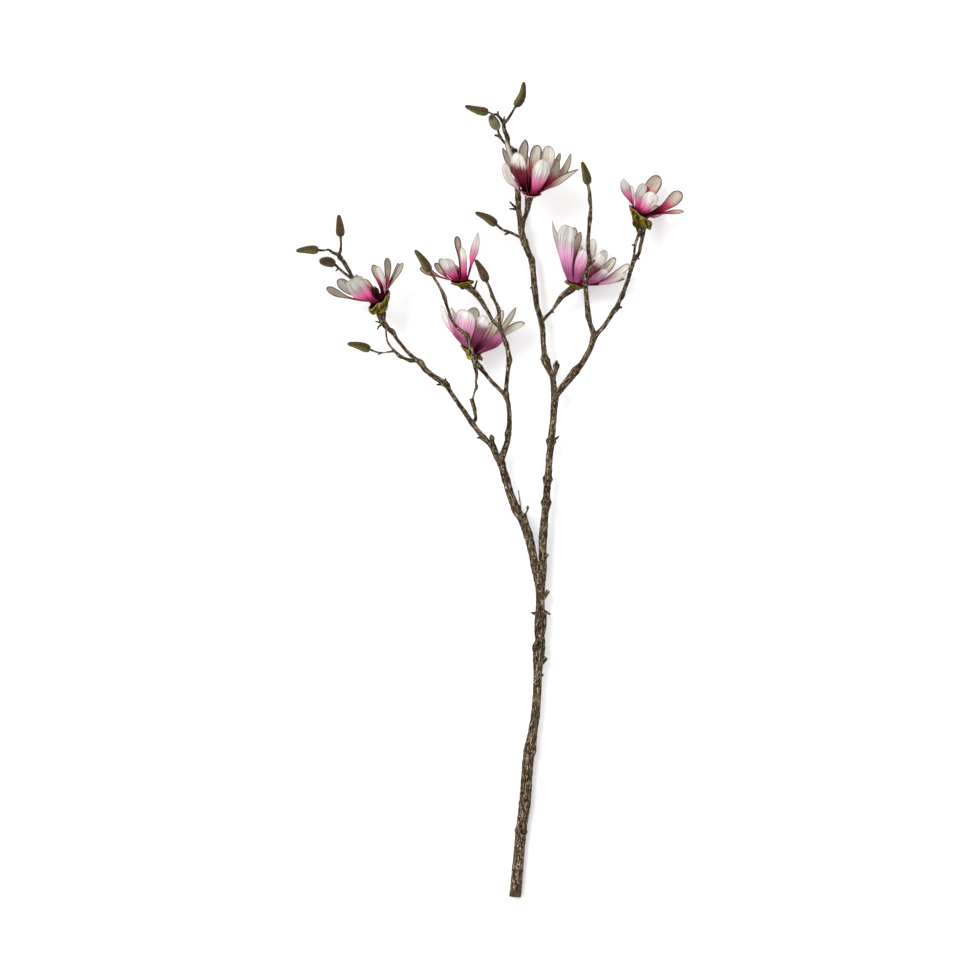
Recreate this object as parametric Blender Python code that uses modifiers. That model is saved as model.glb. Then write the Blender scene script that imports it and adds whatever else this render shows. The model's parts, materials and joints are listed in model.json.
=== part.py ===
"""A cut magnolia branch that lies on a surface: one forked woody stem, six open blooms and eleven buds.

+Z is up and the branch lies along Y, with its cut end at -Y. The origin is on the surface, under the
middle of the branch. Routes and tips are hand-chosen places on the real branch, in millimetres.
"""

import math
from types import SimpleNamespace

import bmesh
import bpy
from mathutils import Vector

MM = 0.001

# Driving dimensions, in millimetres
GAP = 0.3
RING_SPACING = 15.0
THIN_LIMB = 4.7
THIN_SPUR = 1.75
COLLAR_LENGTH = 4.0
TEPAL_THICKNESS = 0.8
TEPAL_STALK = 7.0
TEPAL_LEAST_HALF_WIDTH = 1.0
SCALE_THICKNESS = 1.0
CALYX_FLOOR_MARGIN = 0.4
CORE_FOOT_RADIUS = 2.8
CORE_TOP_RADIUS = 3.2
CORE_CLEARANCE = 0.6
CORE_EDGE = 2.4
CORE_RISE = 3.0
ROOT_RISES = (2.6, 1.2)

# The cone in the middle of a bloom: height, radius. The stamens that stand out of it in two layers: height,
# distance from the cone's axis, radius
STAMEN_CONE = [(0, 2.2), (5, 2.8), (11, 1.8), (15, 0.8)]
STAMENS = [[(3, 1.2, 0.9), (10, 4.2, 0.6)], [(3, 1.2, 0.9), (12, 4.2, 0.6)]]

# Proportions: how far out the tepals root, how narrow or wide a tepal's stalk may be, where along its
# length it is widest and starts to roll in, how bluntly it ends, how slim the core is just under the
# calyx's rim, and how far up and out the calyx's knee lies and how deep its lobes are there and at the rim
ROOT_SPREAD = 0.78
TEPAL_NECK = 0.55
TEPAL_WIDE_NECK = 0.9
TEPAL_WIDEST = 0.72
TEPAL_ROLL_START = 0.65
TEPAL_TIP_MARGIN = 0.03
CORE_WAIST = 0.66
CORE_WAIST_DROP = 0.05
CALYX_KNEE = 0.34
CALYX_KNEE_WIDTH = 0.78
CALYX_KNEE_WAVE = 0.02
CALYX_WAVE = 0.06
CALYX_LOBES = 4
COLLAR_TAPER = 0.93

# Tessellation
TEPAL_ROWS = (0.0, 0.38, 0.72, 0.90, 1.0)
TEPAL_COLUMNS = 3
NARROW_TEPAL = 12.5
NARROW_TEPAL_COLUMNS = 2
CORE_SIDES = 10
CALYX_SIDES = 12
STAMEN_COUNT = 4

# The woody limbs. Each point is x, y, z and the radius there, swollen at the nodes
LIMBS = {
    "trunk": [
        (34, -550.8, 8.0, 8.0), (38, -506, 9, 7.6), (41, -470, 10, 7.3), (42, -462, 10.5, 8.4),
        (43, -454, 10.8, 7.4), (47, -425, 12, 8.0), (50, -385, 13, 7.6), (52, -362, 14, 7.6),
        (54, -352, 14, 8.4), (57.5, -329, 15, 6.5), (61.5, -303, 15.5, 6.1), (64.5, -260, 16.5, 5.8),
        (65, -238, 17, 6.5), (66, -221, 17.5, 8.2), (66, -213, 18, 9.0), (68, -203, 18, 6.8),
        (66.5, -190, 18.5, 6.8), (67.5, -168, 19, 6.6), (68, -152, 19.5, 6.1), (68, -138, 20, 6.2),
        (67.5, -121, 20.5, 8.1), (67, -108, 21, 9.0), (66.5, -98, 21, 4.5),
    ],
    "left_limb": [
        (65, -122, 20.5, 4.5), (61, -107, 21, 5.2), (58, -87, 22, 5.4), (51.5, -61, 23, 6.2),
        (44, -41, 24, 5.9), (35, -25, 25, 6.2), (27.5, -5, 25.5, 5.3), (22, 13, 26, 5.7),
        (18, 26, 26.5, 5.0), (15, 37, 27, 5.6), (12.5, 47, 27, 5.0),
    ],
    "left_main": [
        (14, 40, 27, 4.4), (9, 46, 27.5, 4.4), (4, 58, 28.5, 4.4), (-3.5, 65.5, 29, 3.6),
        (-9.5, 71.5, 29.5, 4.1), (-18, 82, 30, 3.3), (-24, 90, 30.5, 3.7), (-32.5, 102.5, 31.5, 3.4),
        (-38.5, 111, 32, 3.2), (-47, 123, 33, 3.0), (-54, 133.5, 34, 3.0), (-60, 143, 35, 4.3),
        (-76, 153.5, 37, 3.6), (-88, 163.5, 38, 3.8), (-94, 172, 39, 4.2), (-101, 176.5, 40, 3.0),
    ],
    "stem_1": [
        (-98, 174, 40, 2.8), (-109.5, 184.5, 43, 2.7), (-117.5, 193.5, 46, 2.4), (-126, 204, 49, 2.5),
        (-131.5, 213.5, 52, 3.5), (-139, 218.5, 54, 3.4), (-143.5, 225, 57, 3.9),
    ],
    "left_strand": [
        (-99, 175, 39.5, 2.5), (-107.5, 175, 38, 2.6), (-115.5, 178, 37, 2.3), (-122, 181, 36, 2.6),
        (-129, 187, 35, 2.0), (-137.5, 186.5, 34, 1.3), (-146.5, 185.5, 33, 1.2),
        (-155, 187, 32, 1.3), (-161, 189.5, 31, 1.7),
    ],
    "strand_loop": [
        (-127, 186, 35, 1.6), (-134, 193.5, 37, 1.6), (-138.5, 201, 42, 1.4), (-140, 209, 48, 1.3),
        (-140.5, 216, 53, 1.3),
    ],
    "back_twig": [
        (-134, 214, 52, 2.4), (-141, 225, 43, 2.3), (-150, 239, 35, 2.2), (-162, 256, 29, 2.3),
        (-174, 271, 26, 2.4), (-186, 287.5, 24, 2.6), (-190.5, 296, 24, 2.6), (-197, 307, 25, 3.0),
        (-203, 315, 26, 3.2), (-206, 320, 26, 2.4),
    ],
    "twig_to_bud_1": [
        (-205, 318, 26, 2.2), (-212.5, 321, 26, 2.0), (-218.5, 325, 26, 1.7), (-225.5, 324, 26, 1.6),
        (-231, 324.5, 26, 2.0),
    ],
    "twig_to_bud_2": [
        (-205, 317, 26, 2.2), (-202.5, 323, 26.5, 2.0), (-201.5, 332, 27, 1.8), (-202, 341.5, 27.5, 2.0),
    ],
    "twig_to_bud_3": [
        (-184, 285, 24, 2.2), (-189.5, 288, 22, 2.0), (-197, 293.5, 20, 1.8), (-205, 300.5, 20, 1.7),
        (-208.5, 303.8, 21, 1.9), (-210.3, 305.2, 22.8, 2.0),
    ],
    "stem_3": [
        (-25, 90, 30.5, 2.6), (-20, 95, 31.5, 2.5), (-19.5, 101, 32, 2.3), (-21, 111, 33, 2.6),
        (-23, 123, 34, 1.5), (-20.5, 133.5, 35, 1.5), (-18, 139, 35.5, 2.0), (-19, 146, 36, 1.6),
        (-18, 156, 37, 2.2), (-19.5, 164, 38.5, 2.9),
    ],
    "inner_limb": [
        (14.5, 40, 27, 4.4), (20.5, 56, 29, 4.3), (23.5, 66, 31, 3.9), (24.5, 75.5, 33, 4.5),
        (26, 87, 38, 3.5), (26, 102.5, 45, 3.4), (24.5, 117, 51, 3.2), (21.5, 128.5, 55, 4.2),
        (22, 138.5, 59, 3.0), (23.5, 154, 66, 2.9), (25, 168, 72, 3.1), (26, 175, 75, 4.0),
        (24, 188, 79, 3.0), (21.5, 197, 81, 3.1), (17.5, 208.5, 83, 2.7), (13.5, 218.5, 84, 3.1),
        (5, 226.5, 84, 2.4), (-2, 238.5, 85, 2.6), (-9.5, 251, 86, 3.2), (-19, 264, 87, 4.0),
    ],
    "twig_to_bud_6": [
        (13.5, 217, 84, 2.4), (12.5, 230.5, 86, 2.3), (11.5, 243.5, 88.5, 2.7), (7, 253.5, 92, 2.1),
        (3, 261.5, 96, 2.5), (-0.5, 272, 100, 2.0), (-4, 279.5, 103, 2.1),
    ],
    "twig_to_bud_5": [
        (21.5, 127, 54.5, 2.8), (8.5, 140, 60, 2.7), (2, 146.5, 63, 2.6), (-6, 156.5, 68, 2.6),
        (-12.5, 164.5, 72, 3.4), (-20, 175, 79, 3.0), (-25, 188, 85, 3.4), (-29, 199.5, 90, 3.2),
        (-31, 208.5, 92, 3.6), (-38, 213.5, 92, 2.7), (-47, 222.5, 91, 2.4), (-53.5, 234, 89, 2.2),
        (-57.5, 246, 86, 2.1), (-61.5, 260, 82, 2.8), (-68, 274, 78, 2.0), (-74.5, 284.5, 75, 1.9),
        (-80.5, 293.5, 72, 2.0),
    ],
    "right_trunk": [
        (70, -122, 20.5, 4.8), (71.5, -103, 21, 5.4), (71, -87, 21.5, 5.4), (72, -61, 22.5, 5.7),
        (74, -36, 23.5, 5.2), (75.5, -25, 24.2, 5.3), (76, -17, 24.5, 7.2), (76.5, -8, 25, 4.9),
        (77.5, 7, 25.7, 5.0), (78, 15, 26, 6.9), (79, 23, 26.5, 5.0), (80.5, 45, 28, 4.7),
        (82, 59, 28.7, 5.0), (82.5, 66, 29, 6.9), (83.5, 74, 29.5, 4.9),
        (86, 102.5, 31.5, 4.7), (87, 117, 32.5, 5.2), (88.5, 131, 33.5, 5.6),
    ],
    "upper_trunk": [
        (87.5, 124, 33, 4.4), (86, 142, 33.5, 4.3), (84, 154, 33, 3.9), (80, 163, 32, 4.6),
        (75, 175.5, 31, 6.0), (73.5, 185, 30, 3.9), (72, 200.5, 29, 3.6), (71.5, 212.5, 28, 3.8),
        (69.5, 227.5, 27, 3.9), (63.5, 249, 26, 3.7), (60.5, 272, 25, 4.3), (59, 287, 25, 4.0),
        (56.5, 310, 24.5, 4.4), (52.5, 319.5, 24, 4.2), (46.5, 335.5, 24, 4.9), (42, 351.5, 23.5, 4.4),
        (41, 364, 23, 3.9), (38.5, 379.5, 22, 3.9), (38, 395, 21, 4.1), (37, 410.5, 21, 3.8),
        (35, 435, 22, 3.5), (31.5, 458, 24, 3.4), (25.5, 466, 25, 2.6), (23.5, 476.5, 26, 3.1),
        (19.5, 486.5, 27, 3.0), (18, 498, 28, 2.6),
    ],
    "twig_to_bud_8": [
        (18, 496, 28, 2.4), (23.5, 500.5, 29, 2.2), (27.5, 506.5, 30, 2.0), (30.5, 511.5, 30, 1.6),
        (34, 517.5, 30.5, 1.9),
    ],
    "twig_to_bud_7": [
        (18, 496, 28, 2.2), (14, 502.5, 28.5, 2.0), (9, 507.5, 29, 1.9), (4, 508, 29, 1.4),
        (-1.5, 510.5, 29, 1.7),
    ],
    "twig_to_bud_9": [
        (24, 466, 25, 2.0), (17.5, 472, 29, 1.8), (14, 477.5, 33, 1.9), (11.5, 483, 37, 1.7),
        (10.5, 488.5, 41, 1.8),
    ],
    "twig_to_bud_10": [
        (44, 340, 24, 2.2), (39.5, 342.5, 25, 1.9), (27, 348.5, 27, 1.9), (17, 352, 29, 1.7),
        (9.5, 358, 31, 1.9),
    ],
    "stem_4": [
        (43, 345, 24, 3.2), (43.5, 351, 28, 3.2), (45.5, 364, 40, 3.1), (49.5, 375.5, 51, 3.5),
        (51.5, 386, 60, 4.6),
    ],
    "stem_5": [
        (70, 228, 27, 2.6), (75.5, 234, 28, 2.3), (81, 239.5, 29.5, 2.0), (86, 245.5, 31, 2.1),
        (92.5, 255, 33, 3.3), (98.5, 263, 35.5, 4.2),
    ],
    "right_branch": [
        (87, 124, 33, 4.2), (95, 135.5, 35, 4.5), (103, 145, 37.5, 4.6), (115, 160, 42, 5.6),
        (123.5, 170, 46, 4.2), (130.5, 181.5, 50, 4.0), (137, 195, 54, 4.0), (140, 206, 57.5, 4.8),
        (146, 212.5, 59.5, 3.4), (153.5, 220.5, 59, 3.2), (160.5, 231, 58, 3.1), (166.5, 240.5, 57, 3.6),
        (171, 246, 56.5, 3.7), (174, 254, 56, 2.7), (178.5, 262.5, 55, 3.5), (182, 272.5, 54, 2.8),
        (187, 286, 53, 2.9), (191, 300, 52, 3.0), (195, 311, 51.5, 3.2), (201, 319.5, 51, 2.5),
        (203.5, 331, 50.5, 2.7), (205.5, 341, 49.8, 2.9),
    ],
    "double_strand": [
        (194, 309, 51.5, 2.2), (195, 322, 52, 1.8), (196.2, 332, 52, 2.0), (199, 341, 51, 2.0),
        (202.5, 349, 49.5, 2.8),
    ],
    "twig_to_bud_11": [
        (140.5, 209, 58.5, 3.6), (137.5, 217, 64, 3.5), (134.5, 226, 74, 3.5), (132.5, 234, 82, 3.9),
        (131, 247, 90, 3.6), (129.5, 262.5, 94, 3.4), (128.5, 277.5, 95, 2.9), (130.5, 294, 95, 3.1),
        (134, 304.5, 95, 3.9), (133.5, 314, 95, 3.0), (132, 330, 95, 2.9), (133, 349, 95, 2.4),
        (134.5, 365, 95, 3.1), (135.5, 380, 95, 2.2), (134.5, 390, 95, 2.7), (134, 400, 95, 2.3),
        (132, 410.5, 95, 2.1),
    ],
}

# Broken stubs, spurs, thorns and bark flaps. Each point is x, y, z and the radius there
SPURS = {
    "cut_stub_low": [(66, -238, 17, 3.4), (76, -226.5, 19, 3.2)],
    "bump_low": [(65, -250, 17, 3.5), (72, -250.5, 18, 1.4)],
    "bark_flap": [(71, -198, 18.5, 2.0), (75, -184, 20, 1.5), (75.5, -168, 21, 1.3)],
    "flap_knob": [(72, -163, 20, 2.0), (81, -168, 22, 1.6)],
    "left_point": [(66, -168, 19, 3.4), (55.5, -166, 20, 1.0)],
    "cut_stub_high": [(69, -150, 20, 3.3), (79, -136, 23, 2.9)],
    "old_leader": [(52, -62, 24, 4.6), (48, -46, 26, 4.7), (44.5, -32, 28, 4.5)],
    "leader_bead": [(46, -37, 27, 1.2), (50.5, -27, 29, 1.0), (51, -24, 29, 1.8), (51, -21.5, 29, 0.9)],
    "leader_spike": [(43, -38, 27, 1.3), (41, -20, 30, 0.9), (38.6, -1, 31, 0.7)],
    "fork_spur": [(-10, 71, 29.5, 2.2), (-17.5, 70.5, 29, 1.0)],
    "node_spur_up": [(-60, 142, 35, 2.2), (-60, 151, 37, 1.0)],
    "node_spur_left": [(-60, 143, 35, 2.2), (-72, 142.5, 36, 1.0)],
    "stem_3_stub": [(-21, 109, 33, 2.1), (-26.5, 123.5, 34.5, 1.7)],
    "stem_1_peg": [(-144, 227, 57, 1.8), (-142, 234, 55, 1.5), (-141.5, 240, 53, 1.2)],
    "stem_1_thorn": [(-142, 223, 56, 1.6), (-149, 226, 57, 1.3), (-154.5, 227.5, 57, 0.9)],
    "stem_1_thorn_low": [(-145, 224, 56.5, 1.5), (-150, 220.5, 57, 1.2), (-152, 216.5, 57, 0.9)],
    "strand_spur": [(-146, 186, 33, 1.2), (-151.5, 183, 33, 0.8)],
    "back_knob": [(-184, 285, 24, 1.8), (-179.5, 290, 25, 1.6)],
    "bud_3_spur": [(-205, 300, 20, 1.3), (-208.5, 296.5, 20, 0.9)],
    "side_bud_left": [(11, 48, 29, 1.4), (8, 58, 33, 1.1), (4.5, 64.5, 35, 1.8), (2.5, 70, 36, 3.5),
                      (1.5, 75, 36.5, 1.2)],
    "bud_2_spur": [(-22, 267, 87.5, 1.6), (-17.5, 282, 89, 1.2)],
    "right_bead": [(72, -95, 22, 2.0), (78.5, -86.5, 24, 2.2)],
    "right_spur": [(83, 65, 29, 2.6), (93, 72.5, 30, 1.1)],
    "side_bud_right": [(86.5, 140, 35, 1.8), (87.5, 152, 38, 1.6), (88.5, 160, 40, 2.8),
                       (89.5, 168, 41.5, 4.3), (90, 174.5, 42.5, 1.4)],
    "upper_spur_low": [(75, 175.5, 31, 2.6), (68.5, 177, 32, 1.2)],
    "upper_spur_high": [(60.5, 272, 25, 2.2), (54.5, 274, 26, 1.1)],
    "upper_thorn": [(38.5, 381, 22, 2.0), (32.5, 384, 23, 1.6), (27, 390, 24, 1.1)],
    "upper_thorn_low": [(38.5, 379, 22, 1.8), (33, 380, 23, 1.5), (26.5, 380.5, 23, 1.1)],
    "upper_flake": [(30, 459, 25, 1.9), (35.5, 460, 29, 1.7), (36.5, 456, 31, 1.2)],
    "top_peg": [(18, 496, 28, 1.5), (19.5, 505, 30, 1.0)],
    "bud_9_spur": [(15, 475.5, 31.5, 1.9), (10.5, 478.5, 33, 1.6), (6.5, 479.5, 33.5, 1.4)],
    "bud_7_spur": [(11, 505.5, 29, 1.5), (10.5, 512, 30, 1.1)],
    "bud_10_spur": [(26, 348.5, 28, 1.6), (20, 345.5, 29, 1.2)],
    "stem_5_bead": [(81, 239.5, 29.5, 1.4), (86, 241, 31, 1.5)],
    "branch_spur": [(171, 246, 56.5, 2.2), (178, 246.5, 57, 1.2)],
    "twig_11_stub": [(129, 277, 95, 2.0), (124.5, 288.5, 96, 1.1)],
    "twig_11_knob": [(134, 304.5, 95, 2.4), (141, 309, 96, 1.4)],
    "double_knob": [(198, 315, 51, 1.6), (201.5, 311.5, 51, 1.2)],
    "double_spur": [(196, 331, 52, 1.4), (191.5, 330.5, 52, 0.9)],
}

# The furry buds: the foot, a point along the spine that sets the bend, and the tip
BUDS = {
    "bud_1": [(-231.7, 324.6, 26), (-246, 325, 26), (-261.9, 323.5, 26)],
    "bud_2": [(-202, 342.3, 27.6), (-203, 356, 28), (-204.5, 372, 28)],
    "bud_3": [(-210.8, 305.6, 23.4), (-219, 308.5, 33), (-229, 309, 46)],
    "bud_4": [(-161.8, 189.9, 31), (-176.5, 195, 30), (-192.5, 198, 28)],
    "bud_5": [(-81, 294.2, 71.8), (-90, 309, 68), (-101, 323.5, 64)],
    "bud_6": [(-4.3, 280.2, 103.3), (-11, 295, 106), (-19.5, 309.5, 108)],
    "bud_7": [(-2.2, 510.8, 29), (-17, 513.5, 29), (-33.5, 519, 29)],
    "bud_8": [(34.4, 518.2, 30.6), (43, 532, 31), (46, 551.4, 32)],
    "bud_9": [(10.4, 489, 41.6), (5.5, 496, 54), (1.5, 504.5, 66)],
    "bud_10": [(8.9, 358.5, 31.3), (-4, 368, 33), (-19.5, 375, 34)],
    "bud_11": [(131.9, 411.2, 95), (129, 426, 95), (124, 441.5, 95)],
}

# How a bud swells from its foot to its tip: share of its length, radius in millimetres
BUD_PROFILE = [
    (0.0, 2.2), (0.05, 4.3), (0.14, 5.7), (0.30, 6.1), (0.55, 5.1), (0.80, 3.7), (0.94, 2.6), (1.0, 1.4),
]


def tepal(
    x, y, z, width, bow=0.08, turn=0.5, curl=0.03, sweep=0, cup=0.3, neck=None, slim=0.12,
    widest=TEPAL_WIDEST, point=0.0
):
    """One tepal by its tip and its widest width in mm. bow bends it outwards, curl rolls its tip in and
    sweep bends it sideways, each as a share of its length. cup lifts its rims. turn rolls its face from
    square to the bloom, 0, to level, 1. Its stalk is neck of its width up to slim of its length, and it
    swells from there to widest. point sharpens its tip, or blunts it below 0."""
    if neck is None:
        neck = min(TEPAL_WIDE_NECK, max(TEPAL_NECK, TEPAL_STALK / width))
    return SimpleNamespace(
        tip=Vector((x, y, z)), width=width, bow=bow, turn=turn, curl=curl, sweep=sweep, cup=cup,
        neck=neck, slim=slim, widest=widest, point=point
    )


# Each bloom: where the stem ends, its radius there, the middle of the mouth that the tepals rise from, the
# way that the mouth faces, the edge of their root disc, the calyx's radius and how far up it reaches
BLOOMS = {
    1: SimpleNamespace(
        stem="stem_1", seat=(-148, 239.6, 63), collar=5.6, mouth=(-149.5, 260, 69),
        axis=(-0.60, 0.72, 0.28), spread=14.5, rosette=17.5, rim=0.85, tepals=[
            tepal(-220.7, 273, 60, 13, neck=0.3, slim=0.45, widest=0.82),
            tepal(-206, 283.5, 56, 17, slim=0.2, widest=0.78),
            tepal(-186, 287.1, 94, 30, cup=0.3, sweep=-0.05, neck=0.35, slim=0.0, point=-0.35),
            tepal(-158, 304, 60, 14, cup=0.45), tepal(-153, 300.6, 88, 12, widest=0.8),
            tepal(-139, 313.3, 66, 12, sweep=0.04, widest=0.8),
            tepal(-123.5, 307, 50, 9, turn=0.2, sweep=0.05),
            tepal(-117.5, 307, 64, 10, bow=0.03, neck=0.4, slim=0.35, widest=0.8, point=0.6),
            tepal(-182, 277, 38, 20), tepal(-170, 289, 40, 18),
        ]),
    2: SimpleNamespace(
        stem="inner_limb", seat=(-31, 274.7, 88), collar=4.9, mouth=(-43, 284, 91),
        axis=(-0.12, 0.98, 0.12), spread=13.5, rosette=14, rim=0.55, tepals=[
            tepal(-94, 300.5, 52, 13, bow=0.04, neck=0.3, slim=0.4, widest=0.8),
            tepal(-74, 306, 84, 11, neck=0.4, slim=0.3, widest=0.8), tepal(-67, 312.3, 68, 13),
            tepal(-59.5, 311, 122, 21, cup=0.45, neck=0.6),
            tepal(-44.8, 342, 82, 10, turn=0.3, neck=0.4, slim=0.45, widest=0.84),
            tepal(-37.3, 326.2, 116, 10, slim=0.15, neck=0.8),
            tepal(-16, 347, 120, 12, bow=0.04, sweep=-0.04, point=0.9, neck=0.35, slim=0.3, widest=0.66),
            tepal(-52, 304, 56, 17),
        ]),
    3: SimpleNamespace(
        stem="stem_3", seat=(-21.6, 177.5, 42), collar=4.9, mouth=(-26.5, 192, 44),
        axis=(0.47, 0.88, 0.08), spread=16, rosette=15.5, rim=0.62, tepals=[
            tepal(-65.5, 249.5, 56, 12, neck=0.35, slim=0.3, widest=0.76),
            tepal(-51.7, 246.4, 68, 14, point=0.7),
            tepal(-31.5, 242, 84, 28, cup=0.28, neck=0.45, slim=0.0, point=-0.2),
            tepal(-6, 234.2, 80, 21, neck=0.35, slim=0.0), tepal(-19, 246.3, 26, 22),
            tepal(17, 243, 36, 13), tepal(35.4, 247, 44, 11.5, bow=0.05, point=0.7),
            tepal(47, 225.5, 40, 16, bow=-0.05, cup=0.6, neck=0.4, slim=0.3, widest=0.76),
            tepal(18.5, 212, 64, 18, neck=0.5), tepal(-36, 226, -2, 22, curl=-0.05),
            tepal(12, 228, -2, 22, curl=-0.05),
        ]),
    4: SimpleNamespace(
        stem="stem_4", seat=(54, 397.6, 68), collar=6.2, mouth=(57, 405.5, 72),
        axis=(0.14, 0.88, 0.45), spread=13.5, rosette=12.5, rim=0.35, tepals=[
            tepal(20.9, 471.5, 80, 8, bow=0.03), tepal(17, 462, 66, 9.5, bow=0.05, point=0.6),
            tepal(20.5, 439, 126, 14, bow=0.17, neck=0.45, slim=0.25, widest=0.76),
            tepal(38.5, 452.5, 112, 27, neck=0.4, widest=0.66, cup=0.4),
            tepal(47.7, 472.3, 86, 15, point=0.4), tepal(64, 464.8, 80, 17, point=-0.35),
            tepal(80, 463.5, 88, 21, point=-0.2), tepal(72, 443.5, 130, 26, cup=0.4, neck=0.4),
            tepal(94.5, 454, 74, 9),
            tepal(109, 453.5, 84, 12, bow=0.14, widest=0.6, point=0.4, neck=0.8),
            tepal(91.5, 445.2, 86, 21, neck=0.7),
            tepal(120.2, 432.3, 110, 14, bow=0.0, widest=0.45, point=1.2), tepal(45, 455, 50, 18),
        ]),
    5: SimpleNamespace(
        stem="stem_5", seat=(112, 273.8, 39.5), collar=5.4, mouth=(118.5, 282.5, 41),
        axis=(0.31, 0.94, 0.12), spread=14.5, rosette=14, rim=0.44, tepals=[
            tepal(84.1, 363.8, 58, 17, turn=0.3, bow=0.02, point=1.6, widest=0.5),
            tepal(104.5, 356.4, 88, 27, cup=0.3, neck=0.5, slim=0.0, widest=0.76, point=-0.3),
            tepal(114.5, 355.2, 26, 17), tepal(122.5, 349, 34, 14, point=0.4),
            tepal(128.3, 324.1, 76, 18, neck=0.55), tepal(139.6, 339, 58, 16),
            tepal(155, 324.1, 54, 19),
            tepal(152, 318, 80, 22, cup=0.55, neck=0.45, point=-0.3), tepal(169.2, 313.9, 40, 16),
            tepal(188.6, 304.6, 34, 14, neck=0.4, slim=0.3, widest=0.78, point=-0.3),
            tepal(184.7, 293, 58, 10, slim=0.2), tepal(183, 285.5, 34, 9.5, bow=0.0, widest=0.6, point=0.8),
            tepal(157, 297, 80, 15), tepal(120, 332, -2, 20, curl=-0.05),
            tepal(150, 305, -2, 18, curl=-0.05),
        ]),
    6: SimpleNamespace(
        stem="right_branch", seat=(204, 354.4, 49.5), collar=7.2, mouth=(203, 374.5, 53.6),
        axis=(0.62, 0.77, 0.12), spread=14, rosette=18.5, rim=0.88, tepals=[
            tepal(180, 420.5, 74, 17, turn=0.65, cup=0.45, point=0.7),
            tepal(190.3, 410.5, 70, 12, turn=0.8, cup=0.4), tepal(208.3, 412.4, 84, 15.5, neck=0.5),
            tepal(229, 424.8, 22, 22), tepal(221.9, 399.2, 92, 22, cup=0.4, neck=0.5),
            tepal(258, 403, 44, 19, turn=0.8, neck=0.6, slim=0.4, widest=0.8),
            tepal(261.6, 375.5, 60, 9, bow=-0.04, neck=0.4, slim=0.4, widest=0.78),
            tepal(214, 410, 44, 14), tepal(217, 393, -2, 18, curl=-0.05),
            tepal(233, 381, -1, 18, curl=-0.05),
        ]),
}

COLOURS = {
    "bark": ((0.105, 0.075, 0.045, 1), 0.85),
    "tepal": ((0.78, 0.36, 0.52, 1), 0.60),
    "scale": ((0.22, 0.19, 0.04, 1), 0.75),
    "stamen": ((0.24, 0.06, 0.05, 1), 0.70),
    "fur": ((0.12, 0.13, 0.05, 1), 0.95),
}


def material(name):
    """A plain Principled finish of one of the branch's colours."""
    colour, roughness = COLOURS[name]
    finish = bpy.data.materials.get(name) or bpy.data.materials.new(name)
    finish.use_nodes = True
    shader = finish.node_tree.nodes["Principled BSDF"]
    shader.inputs["Base Color"].default_value = colour
    shader.inputs["Roughness"].default_value = roughness
    shader.inputs["Metallic"].default_value = 0.0
    return finish


def smoothstep(low, high, value):
    share = min(1.0, max(0.0, (value - low) / (high - low)))
    return share * share * (3 - 2 * share)


def smooth_route(points, spacing):
    """Points on a smooth curve through the given ones, no further apart than about spacing."""
    knots = [Vector(point) for point in points]
    ends = [2 * knots[0] - knots[1]] + knots + [2 * knots[-1] - knots[-2]]
    route = []
    for before, start, end, after in zip(ends, ends[1:], ends[2:], ends[3:]):
        steps = max(1, round((end - start).length / spacing))
        for step in range(steps):
            t = step / steps
            route.append(0.5 * (
                2 * start + (end - before) * t + (2 * before - 5 * start + 4 * end - after) * t ** 2
                + (3 * start - before - 3 * end + after) * t ** 3
            ))
    return route + [knots[-1]]


def add_object(name, mesh, collection):
    made = bpy.data.objects.new(name, mesh)
    collection.objects.link(made)
    return made


def evaluated_mesh(source):
    """The object's mesh as its curve bevel and modifiers make it."""
    bpy.context.view_layer.update()
    graph = bpy.context.evaluated_depsgraph_get()
    return bpy.data.meshes.new_from_object(source.evaluated_get(graph))


def tube(name, route, collection, resolution):
    """A closed mesh tube along points of x, y, z and radius, made from a bevelled curve."""
    data = bpy.data.curves.new(name, "CURVE")
    data.dimensions = "3D"
    data.bevel_depth = MM
    data.bevel_resolution = resolution
    data.use_fill_caps = True
    spline = data.splines.new("POLY")
    spline.points.add(len(route) - 1)
    for point, (x, y, z, radius) in zip(spline.points, route):
        point.co = (x * MM, y * MM, z * MM, 1.0)
        point.radius = radius
    curve = add_object(name + "_curve", data, collection)
    mesh = evaluated_mesh(curve)
    shape = bmesh.new()
    shape.from_mesh(mesh)
    bmesh.ops.remove_doubles(shape, verts=shape.verts, dist=0.00001)
    bmesh.ops.recalc_face_normals(shape, faces=shape.faces)
    shape.to_mesh(mesh)
    shape.free()
    made = add_object(name, mesh, collection)
    made.matrix_world = curve.matrix_world
    bpy.data.objects.remove(curve)
    bpy.data.curves.remove(data)
    return made


def finish_node(node, collection, colour):
    """Moves a finished solid into the part's collection, shaded smooth in its colour."""
    for holder in list(node.users_collection):
        holder.objects.unlink(node)
    collection.objects.link(node)
    node.data.materials.clear()
    node.data.materials.append(material(colour))
    node.data.shade_smooth()
    node.data.set_sharp_from_angle(angle=math.radians(50))


def fuse(base, pieces):
    """Joins a collection of pieces to base by one applied Boolean union, and removes the pieces."""
    union = base.modifiers.new("union", "BOOLEAN")
    union.operation = "UNION"
    union.operand_type = "COLLECTION"
    union.collection = pieces
    joined = evaluated_mesh(base)
    base.modifiers.clear()
    base.data = joined
    for piece in list(pieces.objects):
        bpy.data.objects.remove(piece)
    bpy.data.collections.remove(pieces)


def scratch_collection(name):
    made = bpy.data.collections.new(name)
    bpy.context.scene.collection.children.link(made)
    return made


def stem_direction(bloom):
    """The way that a bloom's stem points where it ends."""
    return (Vector(bloom.mouth) - Vector(bloom.seat)).normalized()


def collar(bloom):
    """The last two points of a bloom's stem, square to the foot of the bloom."""
    seat = Vector(bloom.seat)
    below = seat - stem_direction(bloom) * COLLAR_LENGTH
    return [(*below, bloom.collar * COLLAR_TAPER), (*seat, bloom.collar)]


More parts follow.
